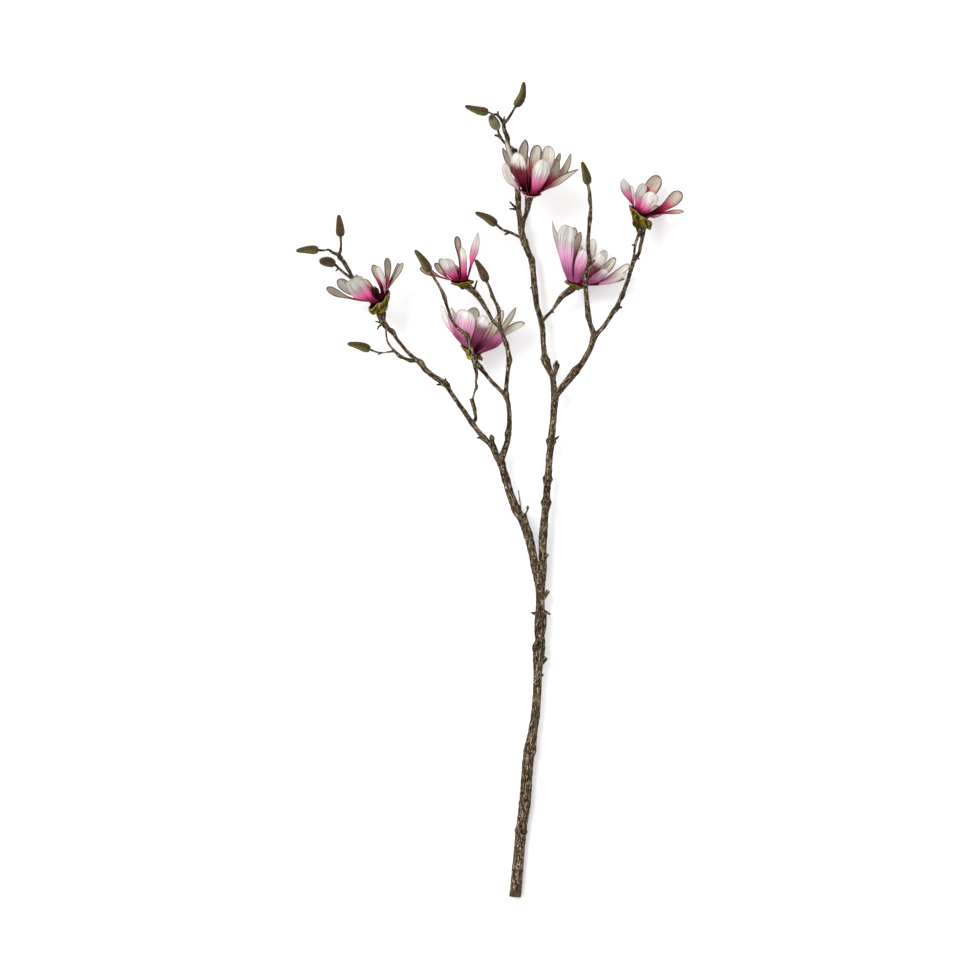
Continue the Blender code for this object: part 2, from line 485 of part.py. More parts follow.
def woody_stem(part):
    """The trunk with every limb, twig, spur and stub grown into it."""
    ends = {bloom.stem: collar(bloom) for bloom in BLOOMS.values()}
    pieces = scratch_collection("wood_pieces")
    solids = []
    for name, points in {**LIMBS, **SPURS}.items():
        widest = max(radius for *_, radius in points[1:])
        route = smooth_route(points + ends.get(name, []), RING_SPACING)
        solids.append(tube(name, route, pieces, (widest > THIN_SPUR) + (widest > THIN_LIMB)))
    trunk = solids[0]
    pieces.objects.unlink(trunk)
    part.objects.link(trunk)
    trunk.name = "branch"
    fuse(trunk, pieces)
    finish_node(trunk, part, "bark")


def foot_length(bloom):
    """How far in mm the mouth lies from the stem's end."""
    return (Vector(bloom.mouth) - Vector(bloom.seat)).length


def bloom_ring(bloom, share, radius, sides, wave=0, lift=0.0):
    """A ring of points round the foot of a bloom. Its middle lies at a share of the way from the stem's
    end to the mouth, lifted in mm, and it turns from square to the stem to the mouth's plane by the
    calyx's knee. wave swells it in lobes, as a share of its radius."""
    centre = Vector(bloom.seat).lerp(Vector(bloom.mouth), share) + stem_direction(bloom) * lift
    turned = smoothstep(0.0, bloom.rim * CALYX_KNEE, share)
    normal = stem_direction(bloom).lerp(Vector(bloom.axis).normalized(), turned)
    first = normal.cross(Vector((0, 0, 1))).normalized()
    second = normal.cross(first).normalized()
    ring = []
    for side in range(sides):
        angle = 2 * math.pi * side / sides
        reach = radius * (1 + wave * math.cos(CALYX_LOBES * angle))
        ring.append(centre + (first * math.cos(angle) + second * math.sin(angle)) * reach)
    return ring


def join_rings(shape, low, high):
    for a, b, c, d in zip(low, low[1:] + low[:1], high[1:] + high[:1], high):
        shape.faces.new((a, b, c, d))


def blade_frame(bloom, leaf):
    """The root, the outward direction and the sideways direction of a tepal."""
    axis = Vector(bloom.axis).normalized()
    middle = Vector(bloom.seat).lerp(Vector(bloom.mouth), leaf.root_share)
    reach = leaf.tip - middle
    outward = (reach - axis * reach.dot(axis)).normalized()
    root = middle + outward * bloom.spread * ROOT_SPREAD
    return root, outward, axis.cross(outward)


def blade_midline(bloom, leaf, t):
    """The point at share t along a tepal's middle, in millimetres."""
    root, outward, side = blade_frame(bloom, leaf)
    chord = leaf.tip - root
    length = chord.length
    belly = (side.cross(chord)).normalized()
    if belly.dot(outward) < 0:
        belly = -belly
    bend = 4 * t * (1 - t) * leaf.bow * length
    rolled = max(0.0, t - TEPAL_ROLL_START) / (1 - TEPAL_ROLL_START)
    roll_in = leaf.curl * length * rolled ** 2
    across = math.sin(math.pi * t) * leaf.sweep * length
    return root + chord * t + belly * (bend + leaf.curl * length * t ** 4 - roll_in) + side * across


def blade_half_width(leaf, t):
    """A spoon outline: a narrow stalk, a swell to the widest place, then a round or pointed tip."""
    grown = leaf.neck + (1 - leaf.neck) * smoothstep(leaf.slim, leaf.widest, t)
    past = max(0.0, t - leaf.widest) / (1 - leaf.widest + TEPAL_TIP_MARGIN)
    half = leaf.width / 2 * grown * (1 - past ** 2) ** ((1 + leaf.point) / 2)
    return max(TEPAL_LEAST_HALF_WIDTH, half)


def level_angle(ahead, side, inward):
    """The roll about the blade's length, within a quarter turn, that makes its width level."""
    level = ahead.cross(Vector((0, 0, 1)))
    if level.dot(side) < 0:
        level = -level
    return math.atan2(level.dot(inward), level.dot(side))


def tepal_blade(name, bloom, leaf, collection):
    """A cupped blade as an open triangulated sheet, thickened by Solidify."""
    side = blade_frame(bloom, leaf)[2]
    columns = TEPAL_COLUMNS if leaf.width > NARROW_TEPAL else NARROW_TEPAL_COLUMNS
    sheet = bmesh.new()
    rows = []
    for t in TEPAL_ROWS:
        centre = blade_midline(bloom, leaf, t)
        ahead = (blade_midline(bloom, leaf, t + 0.01) - blade_midline(bloom, leaf, t - 0.01)).normalized()
        inward = ahead.cross(side).normalized()
        roll = level_angle(ahead, side, inward) * leaf.turn * smoothstep(0.0, 0.6, t)
        across = side * math.cos(roll) + inward * math.sin(roll)
        lift = inward * math.cos(roll) - side * math.sin(roll)
        half = blade_half_width(leaf, t)
        line = []
        for column in range(columns + 1):
            u = 2 * column / columns - 1
            point = centre + across * (u * half) + lift * (leaf.cup * half * u * u)
            point.z = max(point.z, TEPAL_THICKNESS / 2)
            line.append(sheet.verts.new(point * MM))
        rows.append(line)
    for low, high in zip(rows, rows[1:]):
        for a, b, c, d in zip(low, low[1:], high[1:], high):
            sheet.faces.new((a, b, c, d))
    bmesh.ops.triangulate(sheet, faces=sheet.faces)
    mesh = bpy.data.meshes.new(name)
    sheet.to_mesh(mesh)
    sheet.free()
    blade = add_object(name, mesh, collection)
    skin = blade.modifiers.new("thickness", "SOLIDIFY")
    skin.thickness = TEPAL_THICKNESS * MM
    skin.offset = 0
    return blade


def receptacle(name, bloom, part):
    """The core that the tepals root in: a top-shaped loft inside the calyx, closed flat at both ends. Its
    edge stands just above the calyx's rim."""
    foot = GAP + SCALE_THICKNESS + GAP
    edge = bloom.rim + CORE_EDGE / foot_length(bloom)
    shape = bmesh.new()
    rings = []
    for share, radius, lift in (
        (0.0, CORE_FOOT_RADIUS, foot),
        (bloom.rim - CORE_WAIST_DROP, bloom.spread * CORE_WAIST, CORE_CLEARANCE),
        (edge, bloom.spread, CORE_CLEARANCE), (1.0, CORE_TOP_RADIUS, CORE_RISE),
    ):
        ring = bloom_ring(bloom, share, radius, CORE_SIDES, lift=lift)
        rings.append([shape.verts.new(point * MM) for point in ring])
    for low, high in zip(rings, rings[1:]):
        join_rings(shape, low, high)
    shape.faces.new(rings[0])
    shape.faces.new(rings[-1])
    bmesh.ops.triangulate(shape, faces=shape.faces)
    bmesh.ops.recalc_face_normals(shape, faces=shape.faces)
    mesh = bpy.data.meshes.new(name)
    shape.to_mesh(mesh)
    shape.free()
    return add_object(name, mesh, part)


def bloom_solid(number, bloom, part):
    """A bloom: its tepals in two layers, rooted in the receptacle."""
    pieces = scratch_collection("tepal_pieces")
    core = receptacle(f"bloom_{number}", bloom, part)
    for index, leaf in enumerate(bloom.tepals):
        leaf.root_share = bloom.rim + ROOT_RISES[index % 2] / foot_length(bloom)
        tepal_blade(f"tepal_{number}_{index}", bloom, leaf, pieces)
    fuse(core, pieces)
    finish_node(core, part, "tepal")


def calyx_solid(number, bloom, part):
    """The calyx of bud scales: a cup with a lobed rim, thickened by Solidify. Its floor covers the stem's
    end, and its wall turns up at its knee."""
    lift = GAP + SCALE_THICKNESS / 2
    floor = (bloom.collar + CALYX_FLOOR_MARGIN) / bloom.rosette
    sheet = bmesh.new()
    hub = sheet.verts.new((Vector(bloom.seat) + stem_direction(bloom) * lift) * MM)
    rings = []
    for share, rise, wave in (
        (floor, 0.0, 0.0), (CALYX_KNEE_WIDTH, CALYX_KNEE, CALYX_KNEE_WAVE), (1.0, 1.0, CALYX_WAVE),
    ):
        ring = bloom_ring(bloom, bloom.rim * rise, bloom.rosette * share, CALYX_SIDES, wave, lift)
        rings.append([sheet.verts.new(point * MM) for point in ring])
    for a, b in zip(rings[0], rings[0][1:] + rings[0][:1]):
        sheet.faces.new((hub, b, a))
    for low, high in zip(rings, rings[1:]):
        join_rings(sheet, low, high)
    bmesh.ops.triangulate(sheet, faces=sheet.faces)
    bmesh.ops.recalc_face_normals(sheet, faces=sheet.faces)
    mesh = bpy.data.meshes.new(f"calyx_{number}")
    sheet.to_mesh(mesh)
    sheet.free()
    dish = add_object(f"calyx_{number}", mesh, part)
    skin = dish.modifiers.new("thickness", "SOLIDIFY")
    skin.thickness = SCALE_THICKNESS * MM
    skin.offset = 0
    dish.data = evaluated_mesh(dish)
    dish.modifiers.clear()
    finish_node(dish, part, "scale")


def stamen_solid(number, bloom, part):
    """The cone of stamens and carpels on the core, with a few that stand out of it."""
    pieces = scratch_collection("stamen_pieces")
    axis = Vector(bloom.axis).normalized()
    foot = Vector(bloom.mouth) + stem_direction(bloom) * CORE_RISE + axis * GAP
    route = [(*(foot + axis * height), radius) for height, radius in STAMEN_CONE]
    cone = tube(f"stamens_{number}", route, part, 1)
    first = axis.cross(Vector((0, 0, 1))).normalized()
    second = axis.cross(first)
    for index in range(STAMEN_COUNT):
        angle = 2 * math.pi * index / STAMEN_COUNT
        radial = first * math.cos(angle) + second * math.sin(angle)
        tube(f"stamen_{number}_{index}", [
            (*(foot + axis * height + radial * reach), radius) for height, reach, radius in STAMENS[index % 2]
        ], pieces, 0)
    fuse(cone, pieces)
    finish_node(cone, part, "stamen")


def bud_solid(name, spine, part):
    """A furry bud, swollen near its foot and drawn out to a blunt tip."""
    knots = smooth_route(spine, 2.0)
    route = []
    for share, radius in BUD_PROFILE:
        place = share * (len(knots) - 1)
        index = min(int(place), len(knots) - 2)
        route.append((*knots[index].lerp(knots[index + 1], place - index), radius))
    finish_node(tube(name, route, part, 2), part, "fur")


def main():
    for old in list(bpy.data.objects):
        bpy.data.objects.remove(old)
    part = scratch_collection("magnolia_branch")
    woody_stem(part)
    for number, bloom in BLOOMS.items():
        calyx_solid(number, bloom, part)
        bloom_solid(number, bloom, part)
        stamen_solid(number, bloom, part)
    for name, spine in BUDS.items():
        bud_solid(name, spine, part)


main()
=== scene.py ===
"""The looks of a cut magnolia branch that lies on a pale floor and is seen from straight above.

Routes, tips and seats are the same places as in the solids, in millimetres, and are brought to
metres where a mesh is made. +Z is up, +Y runs along the branch towards its tips and +X is to the right.
"""
import json
import math
import random
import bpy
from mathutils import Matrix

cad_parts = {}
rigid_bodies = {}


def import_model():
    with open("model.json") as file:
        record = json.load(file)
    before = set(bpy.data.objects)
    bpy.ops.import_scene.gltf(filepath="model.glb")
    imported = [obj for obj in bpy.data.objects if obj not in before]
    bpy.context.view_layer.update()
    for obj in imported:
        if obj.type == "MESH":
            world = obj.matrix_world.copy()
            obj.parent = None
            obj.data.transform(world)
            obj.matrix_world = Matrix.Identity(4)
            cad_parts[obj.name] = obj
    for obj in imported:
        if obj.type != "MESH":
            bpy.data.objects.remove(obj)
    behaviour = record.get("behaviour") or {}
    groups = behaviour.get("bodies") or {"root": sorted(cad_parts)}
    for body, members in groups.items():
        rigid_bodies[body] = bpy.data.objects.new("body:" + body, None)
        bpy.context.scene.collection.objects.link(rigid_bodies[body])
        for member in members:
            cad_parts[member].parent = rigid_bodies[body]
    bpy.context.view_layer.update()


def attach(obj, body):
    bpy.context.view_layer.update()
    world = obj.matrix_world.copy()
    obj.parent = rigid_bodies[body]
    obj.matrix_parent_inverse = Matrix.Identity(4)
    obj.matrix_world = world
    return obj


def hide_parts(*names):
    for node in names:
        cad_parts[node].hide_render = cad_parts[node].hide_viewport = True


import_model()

from types import SimpleNamespace

import bpy
from mathutils import Vector, noise

MM = 0.001

# The view: how much of the floor the picture spans, and a camera far enough away to look straight down
VIEW_WIDTH = 1.323
CAMERA_HEIGHT = 14.0
MIDDLE_HEIGHT = 0.05
SENSOR_MM = 36.0
FLOOR_SIZE = 60.0

# Wood, with lengths in millimetres
LIMB_STEP = 1.1
LIMB_FEWEST_SIDES = 9
LIMB_MOST_SIDES = 42
LIMB_SIDES_PER_MM = 3.6
LIMB_SEED_STEP = 37
WOOD_FLOOR = 0.05
COLLAR_LENGTH = 4.0
COLLAR_TAPER = 0.93
FLARE_SHARE = 0.28
FLARE_LENGTH = 5.0
RIDGE_DEPTH = 0.42
RIDGE_WIDTH = 2.3
RIDGE_PITCH = 15.0
RIDGE_GAIN = 2.2
RIDGE_SINK = 0.7
CRACK_LEVEL = 0.12
CRACK_WIDTH = 0.14
# The crevices between the ridges are darkened with painted shade
CRACK_SHADE = 0.75
FULL_RELIEF_RADIUS = 5.0
KNOB_DEPTH = 0.42
KNOB_SIZE = 2.4
RING_DEPTH = 0.45
RING_OFFSETS = (-2.2, 0.0, 2.0)
RING_WIDTH = 0.7
# The grooves on either side of the node rings are darkened with painted shade
RING_GROOVES = (-3.3, -1.1, 1.0, 3.1)
GROOVE_SHADE = 0.7

# How a limb's end closes, ring by ring: the share of its radius, and the rise as a share of its radius
CUT_STEPS = ((0.9, 0.05), (0.45, 0.06))
CUT_RISE = 0.06
DOME_STEPS = ((0.86, 0.22), (0.5, 0.42))
DOME_RISE = 0.48
END_GRAIN = 0.6

# Blooms, with lengths in millimetres
GAP = 0.3
TEPAL_THICKNESS = 0.55
TEPAL_FLOOR = 0.4
TEPAL_STALK = 7.0
TEPAL_NECK = 0.55
ROOT_SPREAD = 0.78
ROOT_RISES = (2.6, 1.2)
CORE_EDGE = 2.4
TEPAL_WIDEST = 0.72
TEPAL_ROLL_START = 0.65
TEPAL_ROWS = 46
TEPAL_COLUMNS = 22
TEPAL_LAST_SHARE = 0.999
TEPAL_TIP_CROWDING = 0.25
TEPAL_TIP_ROUNDNESS = 2.4
TEPAL_RIM_ROLL = -0.08
TEPAL_WAVE = 0.10
TEPAL_SEED_STEP = 3.7
BLOOM_SEED_STEP = 20
CORE_SIDES = 20
CORE_RISE = 3.0
CORE_FOOT_RADIUS = 2.8
CORE_TOP_RADIUS = 3.2
CORE_WAIST = 0.66
CORE_WAIST_DROP = 0.05
CORE_CLEARANCE = 0.6
SCALE_THICKNESS = 0.9
CALYX_FLOOR_MARGIN = 0.4
CALYX_KNEE = 0.34
CALYX_KNEE_WIDTH = 0.78
CALYX_WAVE = 0.06
CALYX_SIDES = 72
CALYX_STEP = 0.07
CALYX_RAG = 0.16
CALYX_RAG_PACE = 2.2
CALYX_DENT = 1.5
CALYX_DENT_SIZE = 6.0
CONE_LENGTH = 15.0
CONE_STEPS = 12
CONE_SIDES = 14
CONE_RADIUS = 2.7
CONE_RIPPLE = 0.08
STAMEN_SIDES = 6
STAMEN_STEP = 1.2
STAMEN_FOOT = 1.4
STAMEN_RADII = (0.42, 0.38, 0.5)

# Buds and their hairs, with lengths in millimetres
BUD_SIDES = 36
BUD_STEP = 0.9
BUD_SEAM = 0.09
BUD_DOWN = 0.05
BUD_DOWN_SIZE = 2.2
BUD_SKIN = 5
BUD_SEED_STEP = 2.3
HAIR_COUNT = 700
HAIR_LENGTH = 1.3
HAIR_WIDTH = 0.12
HAIR_SINK = 0.35

# The woody limbs. Each point is x, y, z and the radius there, swollen at the nodes
LIMBS = {
    "trunk": [
        (34, -550.8, 8.0, 8.0), (38, -506, 9, 7.6), (41, -470, 10, 7.3), (42, -462, 10.5, 8.4),
        (43, -454, 10.8, 7.4), (47, -425, 12, 8.0), (50, -385, 13, 7.6), (52, -362, 14, 7.6),
        (54, -352, 14, 8.4), (57.5, -329, 15, 6.5), (61.5, -303, 15.5, 6.1), (64.5, -260, 16.5, 5.8),
        (65, -238, 17, 6.5), (66, -221, 17.5, 8.2), (66, -213, 18, 9.0), (68, -203, 18, 6.8),
        (66.5, -190, 18.5, 6.8), (67.5, -168, 19, 6.6), (68, -152, 19.5, 6.1), (68, -138, 20, 6.2),
        (67.5, -121, 20.5, 8.1), (67, -108, 21, 9.0), (66.5, -98, 21, 4.5),
    ],
    "left_limb": [
        (65, -122, 20.5, 4.5), (61, -107, 21, 5.2), (58, -87, 22, 5.4), (51.5, -61, 23, 6.2),
        (44, -41, 24, 5.9), (35, -25, 25, 6.2), (27.5, -5, 25.5, 5.3), (22, 13, 26, 5.7),
        (18, 26, 26.5, 5.0), (15, 37, 27, 5.6), (12.5, 47, 27, 5.0),
    ],
    "left_main": [
        (14, 40, 27, 4.4), (9, 46, 27.5, 4.4), (4, 58, 28.5, 4.4), (-3.5, 65.5, 29, 3.6),
        (-9.5, 71.5, 29.5, 4.1), (-18, 82, 30, 3.3), (-24, 90, 30.5, 3.7), (-32.5, 102.5, 31.5, 3.4),
        (-38.5, 111, 32, 3.2), (-47, 123, 33, 3.0), (-54, 133.5, 34, 3.0), (-60, 143, 35, 4.3),
        (-76, 153.5, 37, 3.6), (-88, 163.5, 38, 3.8), (-94, 172, 39, 4.2), (-101, 176.5, 40, 3.0),
    ],
    "stem_1": [
        (-98, 174, 40, 2.8), (-109.5, 184.5, 43, 2.7), (-117.5, 193.5, 46, 2.4), (-126, 204, 49, 2.5),
        (-131.5, 213.5, 52, 3.5), (-139, 218.5, 54, 3.4), (-143.5, 225, 57, 3.9),
    ],
    "left_strand": [
        (-99, 175, 39.5, 2.5), (-107.5, 175, 38, 2.6), (-115.5, 178, 37, 2.3), (-122, 181, 36, 2.6),
        (-129, 187, 35, 2.0), (-137.5, 186.5, 34, 1.3), (-146.5, 185.5, 33, 1.2),
        (-155, 187, 32, 1.3), (-161, 189.5, 31, 1.7),
    ],
    "strand_loop": [
        (-127, 186, 35, 1.6), (-134, 193.5, 37, 1.6), (-138.5, 201, 42, 1.4), (-140, 209, 48, 1.3),
        (-140.5, 216, 53, 1.3),
    ],
    "back_twig": [
        (-134, 214, 52, 2.4), (-141, 225, 43, 2.3), (-150, 239, 35, 2.2), (-162, 256, 29, 2.3),
        (-174, 271, 26, 2.4), (-186, 287.5, 24, 2.6), (-190.5, 296, 24, 2.6), (-197, 307, 25, 3.0),
        (-203, 315, 26, 3.2), (-206, 320, 26, 2.4),
    ],
    "twig_to_bud_1": [
        (-205, 318, 26, 2.2), (-212.5, 321, 26, 2.0), (-218.5, 325, 26, 1.7), (-225.5, 324, 26, 1.6),
        (-231, 324.5, 26, 2.0),
    ],
    "twig_to_bud_2": [
        (-205, 317, 26, 2.2), (-202.5, 323, 26.5, 2.0), (-201.5, 332, 27, 1.8), (-202, 341.5, 27.5, 2.0),
    ],
    "twig_to_bud_3": [
        (-184, 285, 24, 2.2), (-189.5, 288, 22, 2.0), (-197, 293.5, 20, 1.8), (-205, 300.5, 20, 1.7),
        (-208.5, 303.8, 21, 1.9), (-210.3, 305.2, 22.8, 2.0),
    ],
    "stem_3": [
        (-25, 90, 30.5, 2.6), (-20, 95, 31.5, 2.5), (-19.5, 101, 32, 2.3), (-21, 111, 33, 2.6),
        (-23, 123, 34, 1.5), (-20.5, 133.5, 35, 1.5), (-18, 139, 35.5, 2.0), (-19, 146, 36, 1.6),
        (-18, 156, 37, 2.2), (-19.5, 164, 38.5, 2.9),
    ],
    "inner_limb": [
        (14.5, 40, 27, 4.4), (20.5, 56, 29, 4.3), (23.5, 66, 31, 3.9), (24.5, 75.5, 33, 4.5),
        (26, 87, 38, 3.5), (26, 102.5, 45, 3.4), (24.5, 117, 51, 3.2), (21.5, 128.5, 55, 4.2),
        (22, 138.5, 59, 3.0), (23.5, 154, 66, 2.9), (25, 168, 72, 3.1), (26, 175, 75, 4.0),
        (24, 188, 79, 3.0), (21.5, 197, 81, 3.1), (17.5, 208.5, 83, 2.7), (13.5, 218.5, 84, 3.1),
        (5, 226.5, 84, 2.4), (-2, 238.5, 85, 2.6), (-9.5, 251, 86, 3.2), (-19, 264, 87, 4.0),
    ],
    "twig_to_bud_6": [
        (13.5, 217, 84, 2.4), (12.5, 230.5, 86, 2.3), (11.5, 243.5, 88.5, 2.7), (7, 253.5, 92, 2.1),
        (3, 261.5, 96, 2.5), (-0.5, 272, 100, 2.0), (-4, 279.5, 103, 2.1),
    ],
    "twig_to_bud_5": [
        (21.5, 127, 54.5, 2.8), (8.5, 140, 60, 2.7), (2, 146.5, 63, 2.6), (-6, 156.5, 68, 2.6),
        (-12.5, 164.5, 72, 3.4), (-20, 175, 79, 3.0), (-25, 188, 85, 3.4), (-29, 199.5, 90, 3.2),
        (-31, 208.5, 92, 3.6), (-38, 213.5, 92, 2.7), (-47, 222.5, 91, 2.4), (-53.5, 234, 89, 2.2),
        (-57.5, 246, 86, 2.1), (-61.5, 260, 82, 2.8), (-68, 274, 78, 2.0), (-74.5, 284.5, 75, 1.9),
        (-80.5, 293.5, 72, 2.0),
    ],
    "right_trunk": [
        (70, -122, 20.5, 4.8), (71.5, -103, 21, 5.4), (71, -87, 21.5, 5.4), (72, -61, 22.5, 5.7),
        (74, -36, 23.5, 5.2), (75.5, -25, 24.2, 5.3), (76, -17, 24.5, 7.2), (76.5, -8, 25, 4.9),
        (77.5, 7, 25.7, 5.0), (78, 15, 26, 6.9), (79, 23, 26.5, 5.0), (80.5, 45, 28, 4.7),
        (82, 59, 28.7, 5.0), (82.5, 66, 29, 6.9), (83.5, 74, 29.5, 4.9),
        (86, 102.5, 31.5, 4.7), (87, 117, 32.5, 5.2), (88.5, 131, 33.5, 5.6),
    ],
    "upper_trunk": [
        (87.5, 124, 33, 4.4), (86, 142, 33.5, 4.3), (84, 154, 33, 3.9), (80, 163, 32, 4.6),
        (75, 175.5, 31, 6.0), (73.5, 185, 30, 3.9), (72, 200.5, 29, 3.6), (71.5, 212.5, 28, 3.8),
        (69.5, 227.5, 27, 3.9), (63.5, 249, 26, 3.7), (60.5, 272, 25, 4.3), (59, 287, 25, 4.0),
        (56.5, 310, 24.5, 4.4), (52.5, 319.5, 24, 4.2), (46.5, 335.5, 24, 4.9), (42, 351.5, 23.5, 4.4),
        (41, 364, 23, 3.9), (38.5, 379.5, 22, 3.9), (38, 395, 21, 4.1), (37, 410.5, 21, 3.8),
        (35, 435, 22, 3.5), (31.5, 458, 24, 3.4), (25.5, 466, 25, 2.6), (23.5, 476.5, 26, 3.1),
        (19.5, 486.5, 27, 3.0), (18, 498, 28, 2.6),
    ],
    "twig_to_bud_8": [
        (18, 496, 28, 2.4), (23.5, 500.5, 29, 2.2), (27.5, 506.5, 30, 2.0), (30.5, 511.5, 30, 1.6),
        (34, 517.5, 30.5, 1.9),
    ],
    "twig_to_bud_7": [
        (18, 496, 28, 2.2), (14, 502.5, 28.5, 2.0), (9, 507.5, 29, 1.9), (4, 508, 29, 1.4),
        (-1.5, 510.5, 29, 1.7),
    ],
    "twig_to_bud_9": [
        (24, 466, 25, 2.0), (17.5, 472, 29, 1.8), (14, 477.5, 33, 1.9), (11.5, 483, 37, 1.7),
        (10.5, 488.5, 41, 1.8),
    ],
    "twig_to_bud_10": [
        (44, 340, 24, 2.2), (39.5, 342.5, 25, 1.9), (27, 348.5, 27, 1.9), (17, 352, 29, 1.7),
        (9.5, 358, 31, 1.9),
    ],
    "stem_4": [
        (43, 345, 24, 3.2), (43.5, 351, 28, 3.2), (45.5, 364, 40, 3.1), (49.5, 375.5, 51, 3.5),
        (51.5, 386, 60, 4.6),
    ],
    "stem_5": [
        (70, 228, 27, 2.6), (75.5, 234, 28, 2.3), (81, 239.5, 29.5, 2.0), (86, 245.5, 31, 2.1),
        (92.5, 255, 33, 3.3), (98.5, 263, 35.5, 4.2),
    ],
    "right_branch": [
        (87, 124, 33, 4.2), (95, 135.5, 35, 4.5), (103, 145, 37.5, 4.6), (115, 160, 42, 5.6),
        (123.5, 170, 46, 4.2), (130.5, 181.5, 50, 4.0), (137, 195, 54, 4.0), (140, 206, 57.5, 4.8),
        (146, 212.5, 59.5, 3.4), (153.5, 220.5, 59, 3.2), (160.5, 231, 58, 3.1), (166.5, 240.5, 57, 3.6),
        (171, 246, 56.5, 3.7), (174, 254, 56, 2.7), (178.5, 262.5, 55, 3.5), (182, 272.5, 54, 2.8),
        (187, 286, 53, 2.9), (191, 300, 52, 3.0), (195, 311, 51.5, 3.2), (201, 319.5, 51, 2.5),
        (203.5, 331, 50.5, 2.7), (205.5, 341, 49.8, 2.9),
    ],
    "double_strand": [
        (194, 309, 51.5, 2.2), (195, 322, 52, 1.8), (196.2, 332, 52, 2.0), (199, 341, 51, 2.0),
        (202.5, 349, 49.5, 2.8),
    ],
    "twig_to_bud_11": [
        (140.5, 209, 58.5, 3.6), (137.5, 217, 64, 3.5), (134.5, 226, 74, 3.5), (132.5, 234, 82, 3.9),
        (131, 247, 90, 3.6), (129.5, 262.5, 94, 3.4), (128.5, 277.5, 95, 2.9), (130.5, 294, 95, 3.1),
        (134, 304.5, 95, 3.9), (133.5, 314, 95, 3.0), (132, 330, 95, 2.9), (133, 349, 95, 2.4),
        (134.5, 365, 95, 3.1), (135.5, 380, 95, 2.2), (134.5, 390, 95, 2.7), (134, 400, 95, 2.3),
        (132, 410.5, 95, 2.1),
    ],
}

